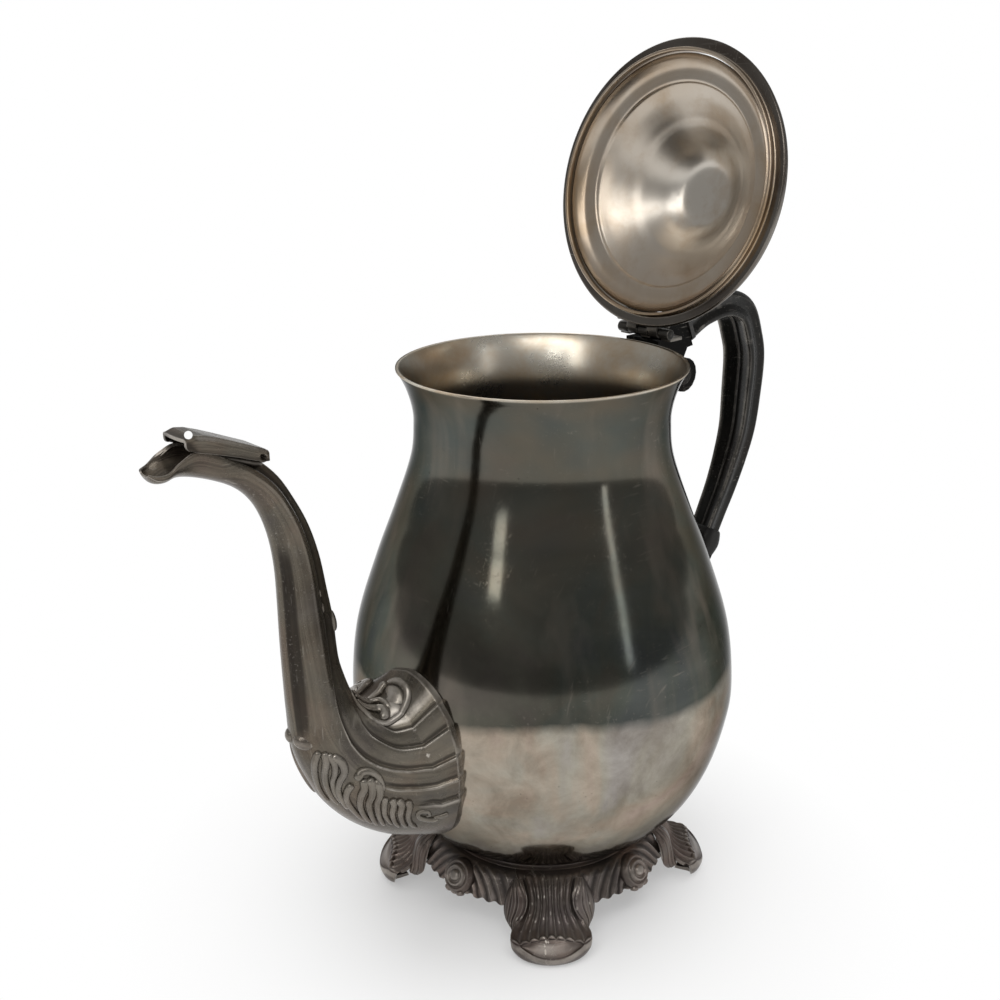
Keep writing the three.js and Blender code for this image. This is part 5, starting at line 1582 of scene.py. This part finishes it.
class PotColours(bpy.types.PropertyGroup):
    # Upper and lower body colours: besides tarnish, the dark upper body and the pale lower body are a painted
    # reflection of a dark room over a pale table
    upper_dark: colour_property("Upper Dark", "Darkest tarnish on the upper body", (0.04, 0.041, 0.036))
    upper_light: colour_property("Upper Light", "Lighter tarnish on the upper body", (0.12, 0.12, 0.105))
    lower_dark: colour_property("Lower Dark", "Darker patches of the worn lower body", (0.24, 0.2, 0.165))
    lower_light: colour_property("Lower Light", "Lighter plate of the worn lower body", (0.4, 0.35, 0.3))
    inside: colour_property("Inside", "Satin plate inside the mouth", (0.62, 0.58, 0.5))
    inside_warm: colour_property("Inside Warm", "Warm tarnish inside the mouth", (0.42, 0.27, 0.13))
    lid_inside: colour_property("Lid Inside", "Spun plate in the middle of the lid", (0.6, 0.56, 0.5))
    lid_warm: colour_property("Lid Warm", "Warm tarnish towards the edge of the lid", (0.36, 0.24, 0.13))
    spout_dark: colour_property("Spout Dark", "Dark brown tarnish of the spout", (0.03, 0.02, 0.013))
    spout_middle: colour_property("Spout Middle", "Warm grey of the spout", (0.12, 0.104, 0.086))
    spout_streak: colour_property("Spout Streak", "Pale stripes along the spout", (0.24, 0.2, 0.155))
    foot_dark: colour_property("Foot Dark", "Dark tarnish of the feet", (0.045, 0.036, 0.032))
    foot_middle: colour_property("Foot Middle", "Brown of the feet", (0.17, 0.135, 0.12))
    handle_dark: colour_property("Handle Dark", "Near-black tarnish of the handle", (0.009, 0.0085, 0.008))
    handle_middle: colour_property("Handle Middle", "Grey of the handle", (0.03, 0.028, 0.026))
    rubbed: colour_property("Rubbed", "Plate that shows on rubbed ridges", (0.5, 0.46, 0.41))


class PotStage(bpy.types.PropertyGroup):
    lamp_power: FloatProperty(name="Lamp Power", description="Power of the strongest lamp", default=32.0,
                              unit="POWER", min=0.0, max=500.0)
    sky: FloatProperty(name="Sky", description="Strength of the room's soft light", default=0.75, min=0.0,
                       max=2.0)
    floor_shade: FloatProperty(name="Floor Shade", description="Paleness of the floor", default=0.8, min=0.1,
                               max=0.95)


class BuildVessel(bpy.types.Operator):
    """Builds the turned vessel with its rim and strainer holes"""
    bl_idname = "footed_pot.vessel"
    bl_label = "Vessel"

    def execute(self, context):
        build_vessel(context.scene.pot_sizes)
        return {"FINISHED"}


class BuildBase(bpy.types.Operator):
    """Builds the closing plate and the collar under the vessel"""
    bl_idname = "footed_pot.base"
    bl_label = "Base Plate and Collar"

    def execute(self, context):
        build_base()
        return {"FINISHED"}


class BuildLid(bpy.types.Operator):
    """Builds the domed lid, its rim and its finial"""
    bl_idname = "footed_pot.lid"
    bl_label = "Lid and Finial"

    def execute(self, context):
        build_lid()
        return {"FINISHED"}


class BuildHinge(bpy.types.Operator):
    """Builds the two hinge leaves and the pin"""
    bl_idname = "footed_pot.hinge"
    bl_label = "Hinge"

    def execute(self, context):
        build_hinge()
        return {"FINISHED"}


class BuildSpout(bpy.types.Operator):
    """Builds the cast spout with its leaves and scroll"""
    bl_idname = "footed_pot.spout"
    bl_label = "Spout"

    def execute(self, context):
        build_spout(context.scene.pot_sizes)
        return {"FINISHED"}


class BuildHood(bpy.types.Operator):
    """Builds the plate over the mouth of the spout"""
    bl_idname = "footed_pot.hood"
    bl_label = "Spout Hood"

    def execute(self, context):
        build_hood()
        return {"FINISHED"}


class BuildHandle(bpy.types.Operator):
    """Builds the handle's bar, cup and scroll, and gives its sockets, washers and pins their materials"""
    bl_idname = "footed_pot.handle"
    bl_label = "Handle"

    def execute(self, context):
        build_handle(context.scene.pot_sizes)
        return {"FINISHED"}


class BuildFeet(bpy.types.Operator):
    """Builds the four fluted feet"""
    bl_idname = "footed_pot.feet"
    bl_label = "Feet"

    def execute(self, context):
        build_feet(context.scene.pot_sizes)
        return {"FINISHED"}


class BuildSkirt(bpy.types.Operator):
    """Builds the four quarters of the scalloped skirt"""
    bl_idname = "footed_pot.skirt"
    bl_label = "Skirt"

    def execute(self, context):
        build_skirt()
        return {"FINISHED"}


class BuildStage(bpy.types.Operator):
    """Builds the floor, the light and the camera"""
    bl_idname = "footed_pot.stage"
    bl_label = "Stage"

    def execute(self, context):
        build_stage(context.scene.pot_stage)
        return {"FINISHED"}


STEPS = (BuildVessel, BuildBase, BuildLid, BuildHinge, BuildSpout, BuildHood, BuildHandle, BuildFeet,
         BuildSkirt, BuildStage)


class FootedPotPanel(bpy.types.Panel):
    bl_idname = "VIEW3D_PT_footed_pot"
    bl_label = "Footed Pot"
    bl_space_type = "VIEW_3D"
    bl_region_type = "UI"
    bl_category = "Footed Pot"

    def draw(self, context):
        scene = context.scene
        for group in (scene.pot_sizes, scene.pot_colours, scene.pot_stage):
            box = self.layout.box()
            for key in group.bl_rna.properties.keys():
                if key not in {"rna_type", "name"}:
                    box.prop(group, key)
        for step in STEPS:
            self.layout.operator(step.bl_idname)


CLASSES = (PotSizes, PotColours, PotStage) + STEPS + (FootedPotPanel,)


def register():
    for cls in CLASSES:
        bpy.utils.register_class(cls)
    bpy.types.Scene.pot_sizes = PointerProperty(type=PotSizes)
    bpy.types.Scene.pot_colours = PointerProperty(type=PotColours)
    bpy.types.Scene.pot_stage = PointerProperty(type=PotStage)


def unregister():
    for name in ("pot_stage", "pot_colours", "pot_sizes"):
        delattr(bpy.types.Scene, name)
    for cls in reversed(CLASSES):
        bpy.utils.unregister_class(cls)


def main():
    register()
    make_materials()
    for step in STEPS:
        group, name = step.bl_idname.split(".")
        getattr(getattr(bpy.ops, group), name)()


if __name__ == "__main__":
    main()
